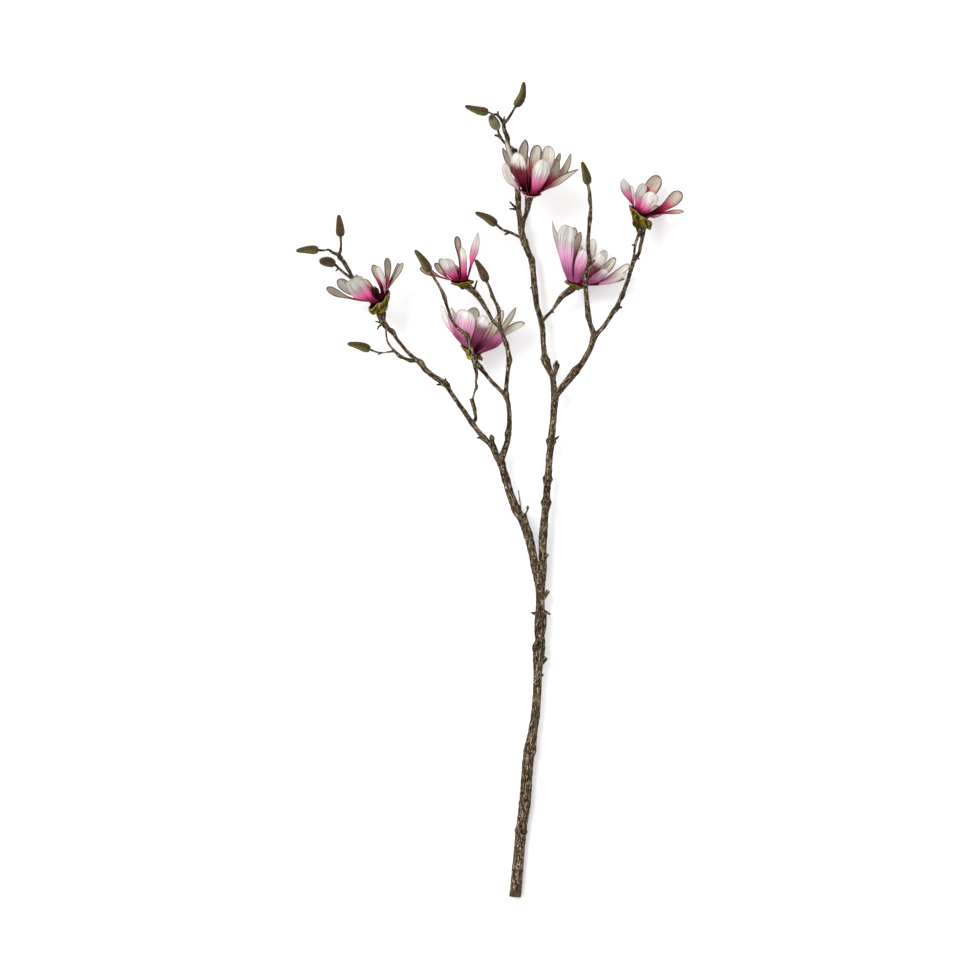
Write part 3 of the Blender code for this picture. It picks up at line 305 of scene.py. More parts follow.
# Broken stubs, spurs, thorns and bark flaps. Each point is x, y, z and the radius there
SPURS = {
    "cut_stub_low": [(66, -238, 17, 3.4), (76, -226.5, 19, 3.2)],
    "bump_low": [(65, -250, 17, 3.5), (72, -250.5, 18, 1.4)],
    "bark_flap": [(71, -198, 18.5, 2.0), (75, -184, 20, 1.5), (75.5, -168, 21, 1.3)],
    "flap_knob": [(72, -163, 20, 2.0), (81, -168, 22, 1.6)],
    "left_point": [(66, -168, 19, 3.4), (55.5, -166, 20, 1.0)],
    "cut_stub_high": [(69, -150, 20, 3.3), (79, -136, 23, 2.9)],
    "old_leader": [(52, -62, 24, 4.6), (48, -46, 26, 4.7), (44.5, -32, 28, 4.5)],
    "leader_bead": [(46, -37, 27, 1.2), (50.5, -27, 29, 1.0), (51, -24, 29, 1.8), (51, -21.5, 29, 0.9)],
    "leader_spike": [(43, -38, 27, 1.3), (41, -20, 30, 0.9), (38.6, -1, 31, 0.7)],
    "fork_spur": [(-10, 71, 29.5, 2.2), (-17.5, 70.5, 29, 1.0)],
    "node_spur_up": [(-60, 142, 35, 2.2), (-60, 151, 37, 1.0)],
    "node_spur_left": [(-60, 143, 35, 2.2), (-72, 142.5, 36, 1.0)],
    "stem_3_stub": [(-21, 109, 33, 2.1), (-26.5, 123.5, 34.5, 1.7)],
    "stem_1_peg": [(-144, 227, 57, 1.8), (-142, 234, 55, 1.5), (-141.5, 240, 53, 1.2)],
    "stem_1_thorn": [(-142, 223, 56, 1.6), (-149, 226, 57, 1.3), (-154.5, 227.5, 57, 0.9)],
    "stem_1_thorn_low": [(-145, 224, 56.5, 1.5), (-150, 220.5, 57, 1.2), (-152, 216.5, 57, 0.9)],
    "strand_spur": [(-146, 186, 33, 1.2), (-151.5, 183, 33, 0.8)],
    "back_knob": [(-184, 285, 24, 1.8), (-179.5, 290, 25, 1.6)],
    "bud_3_spur": [(-205, 300, 20, 1.3), (-208.5, 296.5, 20, 0.9)],
    "side_bud_left": [(11, 48, 29, 1.4), (8, 58, 33, 1.1), (4.5, 64.5, 35, 1.8), (2.5, 70, 36, 3.5),
                      (1.5, 75, 36.5, 1.2)],
    "bud_2_spur": [(-22, 267, 87.5, 1.6), (-17.5, 282, 89, 1.2)],
    "right_bead": [(72, -95, 22, 2.0), (78.5, -86.5, 24, 2.2)],
    "right_spur": [(83, 65, 29, 2.6), (93, 72.5, 30, 1.1)],
    "side_bud_right": [(86.5, 140, 35, 1.8), (87.5, 152, 38, 1.6), (88.5, 160, 40, 2.8),
                       (89.5, 168, 41.5, 4.3), (90, 174.5, 42.5, 1.4)],
    "upper_spur_low": [(75, 175.5, 31, 2.6), (68.5, 177, 32, 1.2)],
    "upper_spur_high": [(60.5, 272, 25, 2.2), (54.5, 274, 26, 1.1)],
    "upper_thorn": [(38.5, 381, 22, 2.0), (32.5, 384, 23, 1.6), (27, 390, 24, 1.1)],
    "upper_thorn_low": [(38.5, 379, 22, 1.8), (33, 380, 23, 1.5), (26.5, 380.5, 23, 1.1)],
    "upper_flake": [(30, 459, 25, 1.9), (35.5, 460, 29, 1.7), (36.5, 456, 31, 1.2)],
    "top_peg": [(18, 496, 28, 1.5), (19.5, 505, 30, 1.0)],
    "bud_9_spur": [(15, 475.5, 31.5, 1.9), (10.5, 478.5, 33, 1.6), (6.5, 479.5, 33.5, 1.4)],
    "bud_7_spur": [(11, 505.5, 29, 1.5), (10.5, 512, 30, 1.1)],
    "bud_10_spur": [(26, 348.5, 28, 1.6), (20, 345.5, 29, 1.2)],
    "stem_5_bead": [(81, 239.5, 29.5, 1.4), (86, 241, 31, 1.5)],
    "branch_spur": [(171, 246, 56.5, 2.2), (178, 246.5, 57, 1.2)],
    "twig_11_stub": [(129, 277, 95, 2.0), (124.5, 288.5, 96, 1.1)],
    "twig_11_knob": [(134, 304.5, 95, 2.4), (141, 309, 96, 1.4)],
    "double_knob": [(198, 315, 51, 1.6), (201.5, 311.5, 51, 1.2)],
    "double_spur": [(196, 331, 52, 1.4), (191.5, 330.5, 52, 0.9)],
}

# The furry buds: the foot, a point along the spine that sets the bend, and the tip
BUDS = {
    "bud_1": [(-231.7, 324.6, 26), (-246, 325, 26), (-261.9, 323.5, 26)],
    "bud_2": [(-202, 342.3, 27.6), (-203, 356, 28), (-204.5, 372, 28)],
    "bud_3": [(-210.8, 305.6, 23.4), (-219, 308.5, 33), (-229, 309, 46)],
    "bud_4": [(-161.8, 189.9, 31), (-176.5, 195, 30), (-192.5, 198, 28)],
    "bud_5": [(-81, 294.2, 71.8), (-90, 309, 68), (-101, 323.5, 64)],
    "bud_6": [(-4.3, 280.2, 103.3), (-11, 295, 106), (-19.5, 309.5, 108)],
    "bud_7": [(-2.2, 510.8, 29), (-17, 513.5, 29), (-33.5, 519, 29)],
    "bud_8": [(34.4, 518.2, 30.6), (43, 532, 31), (46, 551.4, 32)],
    "bud_9": [(10.4, 489, 41.6), (5.5, 496, 54), (1.5, 504.5, 66)],
    "bud_10": [(8.9, 358.5, 31.3), (-4, 368, 33), (-19.5, 375, 34)],
    "bud_11": [(131.9, 411.2, 95), (129, 426, 95), (124, 441.5, 95)],
}

# How a bud swells from its foot to its tip: share of its length and radius in millimetres
BUD_PROFILE = [
    (0.0, 2.2), (0.05, 4.3), (0.14, 5.7), (0.30, 6.1), (0.55, 5.1), (0.80, 3.7), (0.94, 2.6), (1.0, 1.4),
]
ROUND_BUDS = ("bud_3", "bud_9")
ROUND_BUD_PROFILE = [
    (0.0, 2.2), (0.05, 4.3), (0.14, 5.8), (0.32, 6.7), (0.58, 6.5), (0.80, 5.3), (0.93, 3.8), (1.0, 1.8),
]

# Stubs that were sawn off and show pale wood
CUT_STUBS = ("cut_stub_low", "cut_stub_high", "old_leader", "right_bead", "stem_3_stub", "twig_11_stub")

# Spurs with these words in their names are dead and nearly black
THORN_WORDS = ("thorn", "spur", "peg", "flake")
THORN_DARKNESS = 0.62

# Hollows in the bark that face up: x, y, half width, half length and depth in mm. Their depth also darkens
# them with painted shade
HOLLOWS = [(65.0, -211.0, 1.3, 8.0, 2.6), (41.9, -455.6, 2.2, 2.6, 1.6), (63.0, -228.0, 1.4, 2.4, 1.3)]

# The colours of the down, and the buds that aren't green
BUD_COLOURS = {
    "green": (0.088, 0.084, 0.026), "brown": (0.082, 0.058, 0.027), "pale": (0.180, 0.165, 0.100),
}
BUD_KINDS = {"bud_2": "brown", "bud_3": "brown", "bud_6": "brown", "bud_9": "pale"}

# The rings of stamens up a cone: their height, how far they reach out and how many they are
STAMEN_RINGS = ((2.0, 3.0, 13), (4.0, 3.2, 12), (6.0, 3.0, 10), (8.0, 2.5, 8), (10.0, 1.9, 6))

# Calyxes whose rims have dried to a cream colour, and how much
CREAM_CALYXES = {4: 0.85}

# Light: the surroundings, brighter the nearer they are to one way, and a sun's power, softness and way
WORLD_LIGHT = 0.95
WORLD_LEAN = 0.75
WORLD_WAY = (-0.62, 0.48, 0.62)
SUN_POWER = 1.25
SUN_SOFTNESS = 22.0
SUN_WAY = (-0.50, 0.46, 1.0)


def tepal(x, y, z, width, bow=0.08, turn=0.5, curl=0.03, sweep=0, cup=0.3, **looks):
    """One tepal by its tip and its widest width in mm. bow bends it outwards, curl rolls its tip in and
    sweep bends it sideways, each as a share of its length. cup lifts its rims. turn rolls its face from
    square to the bloom, 0, to level, 1. Looks: neck is its width at the root as a share of its widest, and
    slim how far up it stays so; widest and point shape its outline; skew cups one side more; ruffle bends
    its rims; reach carries the pink further up; warm makes it khaki; grey darkens its upper part, partly
    a dull grey of its own and partly painted shade; shade darkens its lower part; dry browns its rim."""
    leaf = SimpleNamespace(
        tip=Vector((x, y, z)), width=width, bow=bow, turn=turn, curl=curl, sweep=sweep, cup=cup,
        neck=min(0.9, max(TEPAL_NECK, TEPAL_STALK / width)), slim=0.12, widest=TEPAL_WIDEST, point=0.0,
        skew=0.0, ruffle=0.07, reach=0.0, warm=0.4, shade=0.0, dry=0.5, grey=0.0,
    )
    for name, value in looks.items():
        setattr(leaf, name, value)
    return leaf


# Each bloom: where the stem ends, its radius there, the middle of the mouth that the tepals rise from, the
# way that the mouth faces, the radius of the ring that they root on, the calyx's radius, how far up it
# reaches and how lilac the pink is
BLOOMS = {
    1: SimpleNamespace(
        stem="stem_1", seat=(-148, 239.6, 63), collar=5.6, mouth=(-149.5, 260, 69),
        axis=(-0.60, 0.72, 0.28), spread=14.5, rosette=17.5, rim=0.85, lilac=0.1, tepals=[
            tepal(-220.7, 273, 60, 13, neck=0.3, slim=0.45, widest=0.82, warm=0.9, shade=0.25, dry=1,
                  grey=0.7),
            tepal(-206, 283.5, 56, 17, slim=0.2, widest=0.78, warm=0.3, shade=0.2, dry=1, grey=0.95),
            tepal(-186, 284, 94, 30, cup=0.3, sweep=-0.05, neck=0.35, slim=0.0, point=-0.6, shade=0.15,
                  ruffle=0.16, grey=0.95, reach=0.1),
            tepal(-158, 304, 60, 14, reach=0.1, cup=0.45, warm=0.8, dry=1),
            tepal(-153, 300.6, 88, 12, widest=0.8, reach=-0.14, dry=1),
            tepal(-139, 313.3, 66, 12, sweep=0.04, widest=0.8, warm=1, shade=0.3, dry=1, grey=0.8),
            tepal(-123.5, 307, 50, 9, turn=0.2, sweep=0.05, warm=1, shade=0.9),
            tepal(-117.5, 307, 64, 10, bow=0.03, neck=0.4, slim=0.35, widest=0.8, point=0.6, warm=0.8,
                  reach=-0.25, grey=0.3),
            tepal(-182, 277, 38, 20, reach=0.1), tepal(-176, 283.5, 38, 18, reach=0.15),
        ]),
    2: SimpleNamespace(
        stem="inner_limb", seat=(-31, 274.7, 88), collar=4.9, mouth=(-43, 284, 91),
        axis=(-0.12, 0.98, 0.12), spread=13.5, rosette=14, rim=0.55, lilac=0.0, tepals=[
            tepal(-94, 300.5, 52, 13, bow=0.04, neck=0.3, slim=0.4, widest=0.8, reach=0.1, warm=1, dry=1),
            tepal(-74, 306, 84, 11, neck=0.4, slim=0.3, widest=0.8, warm=1, shade=0.3, dry=1),
            tepal(-67, 312.3, 68, 13, reach=0.05),
            tepal(-59.5, 311, 122, 21, cup=0.45, neck=0.6, reach=0.1, shade=0.4, grey=0.45),
            tepal(-44.8, 342, 82, 10, turn=0.3, neck=0.4, slim=0.45, widest=0.84, warm=1, shade=0.3, dry=1,
                  reach=0.18, grey=0.3),
            tepal(-37.3, 326.2, 116, 10, slim=0.15, neck=0.8, reach=0.12),
            tepal(-16, 347, 120, 14, bow=0.04, sweep=-0.04, point=0.9, neck=0.35, slim=0.3, widest=0.6,
                  reach=0.15),
            tepal(-52, 304, 56, 17, reach=0.2),
        ]),
    3: SimpleNamespace(
        stem="stem_3", seat=(-21.6, 177.5, 42), collar=4.9, mouth=(-26.5, 192, 44),
        axis=(0.47, 0.88, 0.08), spread=16, rosette=15.5, rim=0.62, lilac=0.8, tepals=[
            tepal(-65.5, 249.5, 56, 12, neck=0.35, slim=0.3, widest=0.76, warm=0.1),
            tepal(-51.7, 246.4, 68, 14, point=0.7, reach=0.3, dry=1, skew=0.3),
            tepal(-31.5, 242, 84, 32, cup=0.28, neck=0.55, slim=0.0, reach=0.24, point=-0.2, dry=0.9,
                  grey=0.15),
            tepal(-6, 234.2, 80, 21, neck=0.35, slim=0.0, reach=0.2, shade=0.85),
            tepal(-19, 246.3, 26, 22, warm=0.6), tepal(17, 243, 36, 13, warm=0.2, reach=-0.1),
            tepal(35.4, 247, 44, 11.5, bow=0.05, point=0.7, warm=0.7, reach=-0.1, grey=0.3),
            tepal(47, 225.5, 40, 16, bow=-0.05, cup=0.6, neck=0.4, slim=0.3, widest=0.76, warm=0.3,
                  reach=-0.1, dry=1),
            tepal(18.5, 212, 64, 18, reach=0.55, neck=0.5, shade=0.25),
            tepal(-36, 226, -2, 22, curl=-0.05, reach=0.1), tepal(12, 228, -2, 22, curl=-0.05, reach=0.1),
        ]),
    4: SimpleNamespace(
        stem="stem_4", seat=(54, 397.6, 68), collar=6.2, mouth=(57, 405.5, 72),
        axis=(0.14, 0.88, 0.45), spread=13.5, rosette=12.5, rim=0.35, lilac=0.0, tepals=[
            tepal(20.9, 471.5, 80, 8, bow=0.03, reach=-0.2, warm=0.2),
            tepal(17, 462, 66, 9, bow=0.05, point=0.6, warm=0.6, shade=0.5, grey=0.6, dry=1),
            tepal(20.5, 439, 126, 14, bow=0.13, neck=0.85, slim=0.2, widest=0.76, reach=-0.1),
            tepal(38.5, 452.5, 112, 28, neck=0.68, widest=0.66, reach=0.13, cup=0.4, shade=1),
            tepal(47.7, 472.3, 86, 15, point=0.4, warm=0.5, shade=0.3, dry=1, grey=0.3),
            tepal(64, 464.8, 80, 17, point=-0.35, warm=0.1, dry=1),
            tepal(80, 463.5, 88, 21, point=-0.2, warm=0.0, reach=0.02, dry=0.3),
            tepal(72, 443.5, 130, 26, cup=0.4, neck=0.4, shade=0.1, reach=0.07),
            tepal(94.5, 454, 74, 9, warm=0.5, reach=-0.1, dry=1),
            tepal(109, 453.5, 84, 12, bow=0.14, widest=0.6, point=0.4, warm=0.7, neck=0.8),
            tepal(91.5, 445.2, 86, 21, warm=0.9, shade=0.6, reach=0.05, neck=0.7, grey=0.8),
            tepal(120.2, 432.3, 110, 14, bow=0.0, widest=0.45, point=1.2, reach=-0.12, grey=0.6, dry=1),
            tepal(45, 455, 50, 18, reach=0.15),
        ]),
    5: SimpleNamespace(
        stem="stem_5", seat=(112, 273.8, 39.5), collar=5.4, mouth=(118.5, 282.5, 41),
        axis=(0.31, 0.94, 0.12), spread=14.5, rosette=14, rim=0.44, lilac=1.0, tepals=[
            tepal(84.1, 363.8, 58, 17, turn=0.3, bow=0.02, point=1.6, widest=0.5, dry=1, reach=0.14,
                  grey=0.9),
            tepal(104.5, 356.4, 88, 27, cup=0.3, neck=0.5, slim=0.0, widest=0.76, point=-0.3, reach=0.17,
                  grey=0.6),
            tepal(114.5, 355.2, 26, 17, warm=0.3, dry=0.9),
            tepal(122.5, 349, 34, 14, warm=0.7, reach=0.12, point=0.4, shade=0.4),
            tepal(128.3, 324.1, 76, 18, reach=0.32, neck=0.55), tepal(139.6, 339, 58, 16, reach=0.05),
            tepal(155, 324.1, 54, 19, reach=-0.06),
            tepal(152, 318, 80, 22, cup=0.55, neck=0.45, point=-0.3, reach=0.15, shade=1),
            tepal(169.2, 313.9, 40, 16, warm=0.15, dry=0.9),
            tepal(188.6, 304.6, 34, 14, neck=0.4, slim=0.3, widest=0.78, point=-0.3, warm=0),
            tepal(184.7, 293, 58, 10, slim=0.2, reach=0.15),
            tepal(183, 285.5, 34, 9.5, bow=0.0, widest=0.6, point=0.8, reach=0.4, shade=0.35, grey=0.6,
                  dry=1),
            tepal(157, 297, 80, 15, reach=0.3, shade=0.5),
            tepal(120, 332, -2, 20, curl=-0.05, reach=0.1), tepal(150, 305, -2, 18, curl=-0.05, reach=0.1),
        ]),
    6: SimpleNamespace(
        stem="right_branch", seat=(204, 354.4, 49.5), collar=7.2, mouth=(203, 374.5, 53.6),
        axis=(0.62, 0.77, 0.12), spread=14, rosette=18.5, rim=0.88, lilac=0.1, tepals=[
            tepal(180, 420.5, 74, 17, turn=0.65, cup=0.45, point=1.5, reach=0.12, shade=0.3, grey=0.55),
            tepal(190.3, 410.5, 70, 12, turn=0.8, cup=0.4, reach=-0.05),
            tepal(208.3, 412.4, 84, 15.5, neck=0.5, shade=0.25, grey=0.65),
            tepal(229, 424.8, 22, 22, warm=0.75, reach=0.12, dry=1),
            tepal(221.9, 399.2, 92, 22, cup=0.4, neck=0.5, reach=0.04),
            tepal(258, 403, 44, 19, turn=0.8, neck=0.6, slim=0.4, widest=0.8, reach=0.16, warm=0.5, dry=1,
                  grey=0.45),
            tepal(261.6, 375.5, 60, 9, bow=-0.04, neck=0.5, slim=0.4, widest=0.78, reach=0.26, warm=0.6,
                  grey=0.4),
            tepal(214, 410, 44, 14, reach=0.55),
            tepal(217, 393, -2, 18, curl=-0.05, reach=0.1), tepal(233, 381, -1, 18, curl=-0.05, reach=0.1),
        ]),
}


# Node helpers

class Finish:
    """A Principled material and the nodes that colour it."""

    def __init__(self, name, roughness, sockets=None):
        self.material = bpy.data.materials.new(name)
        self.material.use_nodes = True
        self.tree = self.material.node_tree
        self.shader = self.tree.nodes["Principled BSDF"]
        self.shader.inputs["Roughness"].default_value = roughness
        for socket, value in (sockets or {}).items():
            self.shader.inputs[socket].default_value = value

    def add(self, kind, inputs=None, **settings):
        node = self.tree.nodes.new(kind)
        for key, value in settings.items():
            setattr(node, key, value)
        for socket, value in (inputs or {}).items():
            if isinstance(value, bpy.types.NodeSocket):
                self.tree.links.new(value, node.inputs[socket])
            else:
                node.inputs[socket].default_value = value
        return node

    def attribute(self, name):
        return self.add("ShaderNodeAttribute", attribute_name=name).outputs["Vector"]

    def parts(self, vector):
        return self.add("ShaderNodeSeparateXYZ", {0: vector}).outputs

    def vector(self, x, y, z):
        return self.add("ShaderNodeCombineXYZ", {0: x, 1: y, 2: z}).outputs[0]

    def lengthen(self, vector, share):
        """Slows a pattern down along its third axis, so that it runs lengthwise."""
        inputs = {0: vector, 1: (1.0, 1.0, share)}
        return self.add("ShaderNodeVectorMath", inputs, operation="MULTIPLY").outputs[0]

    def maths(self, operation, a, b=0.0):
        return self.add("ShaderNodeMath", {0: a, 1: b}, operation=operation).outputs[0]

    def times(self, a, b):
        return self.maths("MULTIPLY", a, b)

    def noise(self, vector, scale, detail=2.0, roughness=0.5):
        inputs = {"Vector": vector, "Scale": scale, "Detail": detail, "Roughness": roughness}
        return self.add("ShaderNodeTexNoise", inputs).outputs[0]

    def ramp(self, factor, stops):
        node = self.add("ShaderNodeValToRGB", {0: factor})
        ramp = node.color_ramp
        while len(ramp.elements) < len(stops):
            ramp.elements.new(0.5)
        for element, (place, colour) in zip(ramp.elements, stops):
            element.position = place
            element.color = (*colour, 1.0)
        return node.outputs[0]

    def level(self, factor, low, high):
        """0 below low, 1 above high and smooth between them."""
        inputs = {0: factor, 1: low, 2: high, 3: 0.0, 4: 1.0}
        return self.add("ShaderNodeMapRange", inputs, interpolation_type="SMOOTHSTEP").outputs[0]

    def mix(self, factor, below, above, blend="MIX"):
        inputs = {0: factor, 6: below, 7: above}
        return self.add("ShaderNodeMix", inputs, data_type="RGBA", blend_type=blend).outputs[2]

    def tint(self, colour, shade):
        return self.mix(1.0, colour, shade, "MULTIPLY")

    def colour(self, output):
        self.tree.links.new(output, self.shader.inputs["Base Color"])

    def bump(self, height, strength, distance):
        node = self.add("ShaderNodeBump", {"Height": height, "Strength": strength, "Distance": distance})
        self.tree.links.new(node.outputs[0], self.shader.inputs["Normal"])


BARK_STOPS = [
    (0.40, (0.010, 0.0065, 0.004)), (0.47, (0.044, 0.030, 0.018)), (0.54, (0.098, 0.070, 0.041)),
    (0.60, (0.190, 0.144, 0.090)), (0.67, (0.39, 0.316, 0.210)),
]
BARK_HUES = [(0.35, (0.62, 0.54, 0.56)), (0.5, (0.95, 0.92, 0.88)), (0.66, (1.4, 1.28, 1.0))]
CUT_WOOD_STOPS = [(0.35, (0.34, 0.26, 0.16)), (0.65, (0.60, 0.49, 0.33))]
FLECK_COLOUR = (0.40, 0.335, 0.235, 1.0)
THREAD_COLOUR = (0.012, 0.008, 0.006, 1.0)
# Painted shade for hollows, crevices and ring grooves, and also the near-black of dead spurs
SHADE_AND_DEAD_BARK_COLOUR = (0.012, 0.008, 0.005, 1.0)


def bark_finish():
    """Dark olive-brown bark with lengthwise streaks, pale flecks, pale wood on cut faces and near-black dead
    spurs, with painted shade in its hollows, crevices and ring grooves.
    """
    bark = Finish("bark", 0.85, {"Specular IOR Level": 0.05})
    place = bark.attribute("bark")
    cut, dark, _ = bark.parts(bark.attribute("marks"))
    streaks = bark.noise(bark.lengthen(place, 0.16), 0.55, 4.0, 0.65)
    patches = bark.noise(bark.lengthen(place, 0.5), 0.16, 3.0, 0.6)
    mottled = bark.tint(bark.ramp(streaks, BARK_STOPS), bark.ramp(patches, BARK_HUES))
    flecks = bark.noise(bark.lengthen(place, 0.45), 0.62, 2.0, 0.4)
    flecked = bark.mix(bark.level(flecks, 0.60, 0.65), mottled, FLECK_COLOUR)
    threads = bark.noise(bark.lengthen(place, 0.10), 0.62, 3.0, 0.55)
    thread = bark.level(bark.maths("ABSOLUTE", bark.maths("SUBTRACT", threads, 0.5)), 0.036, 0.010)
    split = bark.mix(bark.times(thread, 0.9), flecked, THREAD_COLOUR)
    # Painted shade in hollows, crevices and ring grooves, and the near-black of dead spurs
    shaded = bark.mix(bark.level(dark, 0.1, 0.9), split, SHADE_AND_DEAD_BARK_COLOUR)
    pale = bark.ramp(bark.noise(place, 1.6, 3.0), CUT_WOOD_STOPS)
    bark.colour(bark.mix(bark.level(cut, 0.3, 0.7), shaded, pale))
    bark.bump(bark.maths("ADD", streaks, bark.times(flecks, 0.4)), 0.7, 0.0009)
    return bark.material


OUTER_STOPS = [
    (0.00, (0.140, 0.003, 0.024)), (0.12, (0.30, 0.012, 0.075)), (0.24, (0.68, 0.080, 0.250)),
    (0.36, (0.74, 0.180, 0.370)), (0.46, (0.68, 0.320, 0.440)), (0.55, (0.72, 0.530, 0.570)),
    (0.64, (0.78, 0.745, 0.690)), (1.00, (0.77, 0.755, 0.685)),
]
LILAC_STOPS = [
    (0.00, (0.320, 0.075, 0.170)), (0.12, (0.47, 0.140, 0.280)), (0.24, (0.62, 0.240, 0.430)),
    (0.37, (0.72, 0.360, 0.550)), (0.47, (0.72, 0.470, 0.590)), (0.56, (0.74, 0.610, 0.650)),
    (0.64, (0.83, 0.795, 0.755)), (1.00, (0.84, 0.820, 0.760)),
]
# The inner faces run near-black at the root: partly their own deep maroon, partly painted shade deep in the
# cup
INNER_STOPS = [
    (0.00, (0.026, 0.001, 0.004)), (0.16, (0.075, 0.001, 0.011)), (0.30, (0.30, 0.012, 0.055)),
    (0.42, (0.46, 0.060, 0.120)), (0.52, (0.58, 0.290, 0.270)), (0.62, (0.66, 0.550, 0.440)),
    (0.74, (0.82, 0.755, 0.640)), (1.00, (0.87, 0.825, 0.720)),
]
# Near-black at the root, as above: partly deep maroon of their own, partly painted shade deep in the cup
LILAC_INNER_STOPS = [
    (0.00, (0.030, 0.002, 0.010)), (0.16, (0.085, 0.006, 0.032)), (0.30, (0.25, 0.040, 0.115)),
    (0.42, (0.43, 0.130, 0.240)), (0.52, (0.58, 0.350, 0.360)), (0.62, (0.68, 0.560, 0.470)),
    (0.74, (0.82, 0.755, 0.640)), (1.00, (0.87, 0.825, 0.720)),
]
KHAKI = (0.25, 0.212, 0.140, 1.0)
GREY = (0.54, 0.56, 0.55, 1.0)
RIM_BROWN = (0.070, 0.038, 0.028, 1.0)
# A broad darkening towards the rim: partly dry brown, partly painted shade along the curled rims
SOFT_RIM_BROWN_AND_SHADE = (0.20, 0.130, 0.090, 1.0)
BAND_SHADE = (0.72, 0.70, 0.69, 1.0)
VEIN_SHADE = (0.42, 0.40, 0.39, 1.0)
DEEP_SHADE = (0.22, 0.09, 0.10, 1.0)
RIM_STOPS = [
    (0.10, (0.42, 0.080, 0.16)), (0.35, (0.66, 0.30, 0.38)), (0.55, (0.50, 0.34, 0.33)),
    (0.75, (0.30, 0.25, 0.19)), (1.0, (0.24, 0.19, 0.14)),
]


def tepal_finish(name, stops, lilac_stops, khaki_share, rim_share):
    """A tepal's face: its colours run from the root to the tip in lengthwise streaks, to a thin dark rim,
    with a broad band of dry brown and painted shade inside the rim.
    """
    face = Finish(name, 0.65, {"Specular IOR Level": 0.03})
    along, across, seed = face.parts(face.attribute("blade"))
    reach, warmth, shade = face.parts(face.attribute("tone"))
    inset, dry, lilac = face.parts(face.attribute("edge"))
    grey = face.parts(face.attribute("look"))[0]
    streak = face.noise(face.vector(face.times(across, 5.0), face.times(along, 1.3), seed), 1.7, 3.0, 0.6)
    band = face.noise(face.vector(face.times(across, 9.0), face.times(along, 1.6), seed), 1.0)
    vein = face.noise(face.vector(face.times(across, 26.0), face.times(along, 2.2), seed), 1.0)
    shift = face.times(face.maths("SUBTRACT", streak, 0.5), 0.25)
    place = face.maths("SUBTRACT", face.maths("ADD", along, shift), reach)
    plain = face.mix(lilac, face.ramp(place, stops), face.ramp(place, lilac_stops))
    ripe = face.times(warmth, face.level(place, 0.42, 0.78))
    warm = face.mix(face.times(ripe, khaki_share), plain, KHAKI)
    # grey darkens the upper part: partly a dull grey of its own, partly painted shade
    grey_and_shade = face.mix(face.times(grey, face.level(place, 0.35, 0.60)), warm, face.tint(warm, GREY))
    banded = face.mix(face.level(band, 0.34, 0.50), face.tint(grey_and_shade, BAND_SHADE), grey_and_shade)
    lined = face.mix(face.level(vein, 0.36, 0.49), face.tint(banded, VEIN_SHADE), banded)
    worn = face.maths("ADD", 0.35, face.times(dry, 0.65))
    rim_look = face.times(face.times(worn, rim_share), face.level(place, 0.15, 0.5))
    # Broad band inside the rim: partly dry brown, partly painted shade
    soft_rim = face.times(face.level(inset, 5.5, 0.8), face.times(rim_look, 0.34))
    edged = face.mix(soft_rim, lined, SOFT_RIM_BROWN_AND_SHADE)
    rimmed = face.mix(face.times(face.level(inset, 2.4, 1.0), rim_look), edged, RIM_BROWN)
    low = face.maths("ADD", 0.02, face.times(face.level(place, 0.66, 0.46), 0.98))
    face.colour(face.mix(face.times(shade, low), rimmed, face.tint(rimmed, DEEP_SHADE)))
    face.bump(face.maths("ADD", vein, streak), 0.35, 0.0004)
    return face.material


def rim_finish():
    """The thin edge of a tepal, dry and brownish towards the tip."""
    rim = Finish("tepal_rim", 0.7)
    along = rim.parts(rim.attribute("blade"))[0]
    reach = rim.parts(rim.attribute("tone"))[0]
    rim.colour(rim.ramp(rim.maths("SUBTRACT", along, reach), RIM_STOPS))
    return rim.material


# The dark end of this ramp falls in the bumped creases: partly the calyx's own mottling, partly painted shade
SCALE_STOPS = [
    (0.36, (0.012, 0.006, 0.001)), (0.45, (0.050, 0.032, 0.003)), (0.54, (0.150, 0.110, 0.006)),
    (0.66, (0.42, 0.340, 0.030)),
]
# The cup's inside: partly its own dark brown, partly painted shade in the cup
SCALE_INSIDE_SHADE_STOPS = [
    (0.35, (0.010, 0.006, 0.003)), (0.50, (0.035, 0.022, 0.006)), (0.66, (0.085, 0.062, 0.014)),
]
SPECK_COLOUR = (0.05, 0.03, 0.008, 1.0)
SCALE_RIM_COLOUR = (0.20, 0.155, 0.06, 1.0)
CREAM = (0.58, 0.43, 0.33, 1.0)


def scale_finish(name, stops):
    """Leathery skin mottled in olive and gold, darkest in its bumped creases, partly its own mottling and
    partly painted shade, and brown at the rim.
    """
    scale = Finish(name, 0.7, {"Specular IOR Level": 0.05})
    place = scale.attribute("cup")
    rise = scale.parts(place)[2]
    cream = scale.parts(scale.attribute("look"))[0]
    mottle_and_crease = scale.noise(place, 2.6, 4.0, 0.65)
    fine = scale.noise(place, 11.0, 2.0, 0.6)
    speckled = scale.mix(scale.level(fine, 0.44, 0.30), scale.ramp(mottle_and_crease, stops), SPECK_COLOUR)
    rimmed = scale.mix(scale.level(rise, 0.94, 1.02), speckled, SCALE_RIM_COLOUR)
    scale.colour(scale.mix(scale.times(cream, scale.level(rise, 0.3, 0.8)), rimmed, CREAM))
    scale.bump(mottle_and_crease, 0.6, 0.0008)
    return scale.material


# Near black: partly the stamens' own maroon, partly painted shade in the hollow at the bloom's heart
STAMEN_HOLLOW_SHADE_STOPS = [
    (0.0, (0.022, 0.001, 0.004)), (0.45, (0.032, 0.002, 0.006)), (0.8, (0.045, 0.008, 0.007)),
    (1.0, (0.085, 0.030, 0.014)),
]


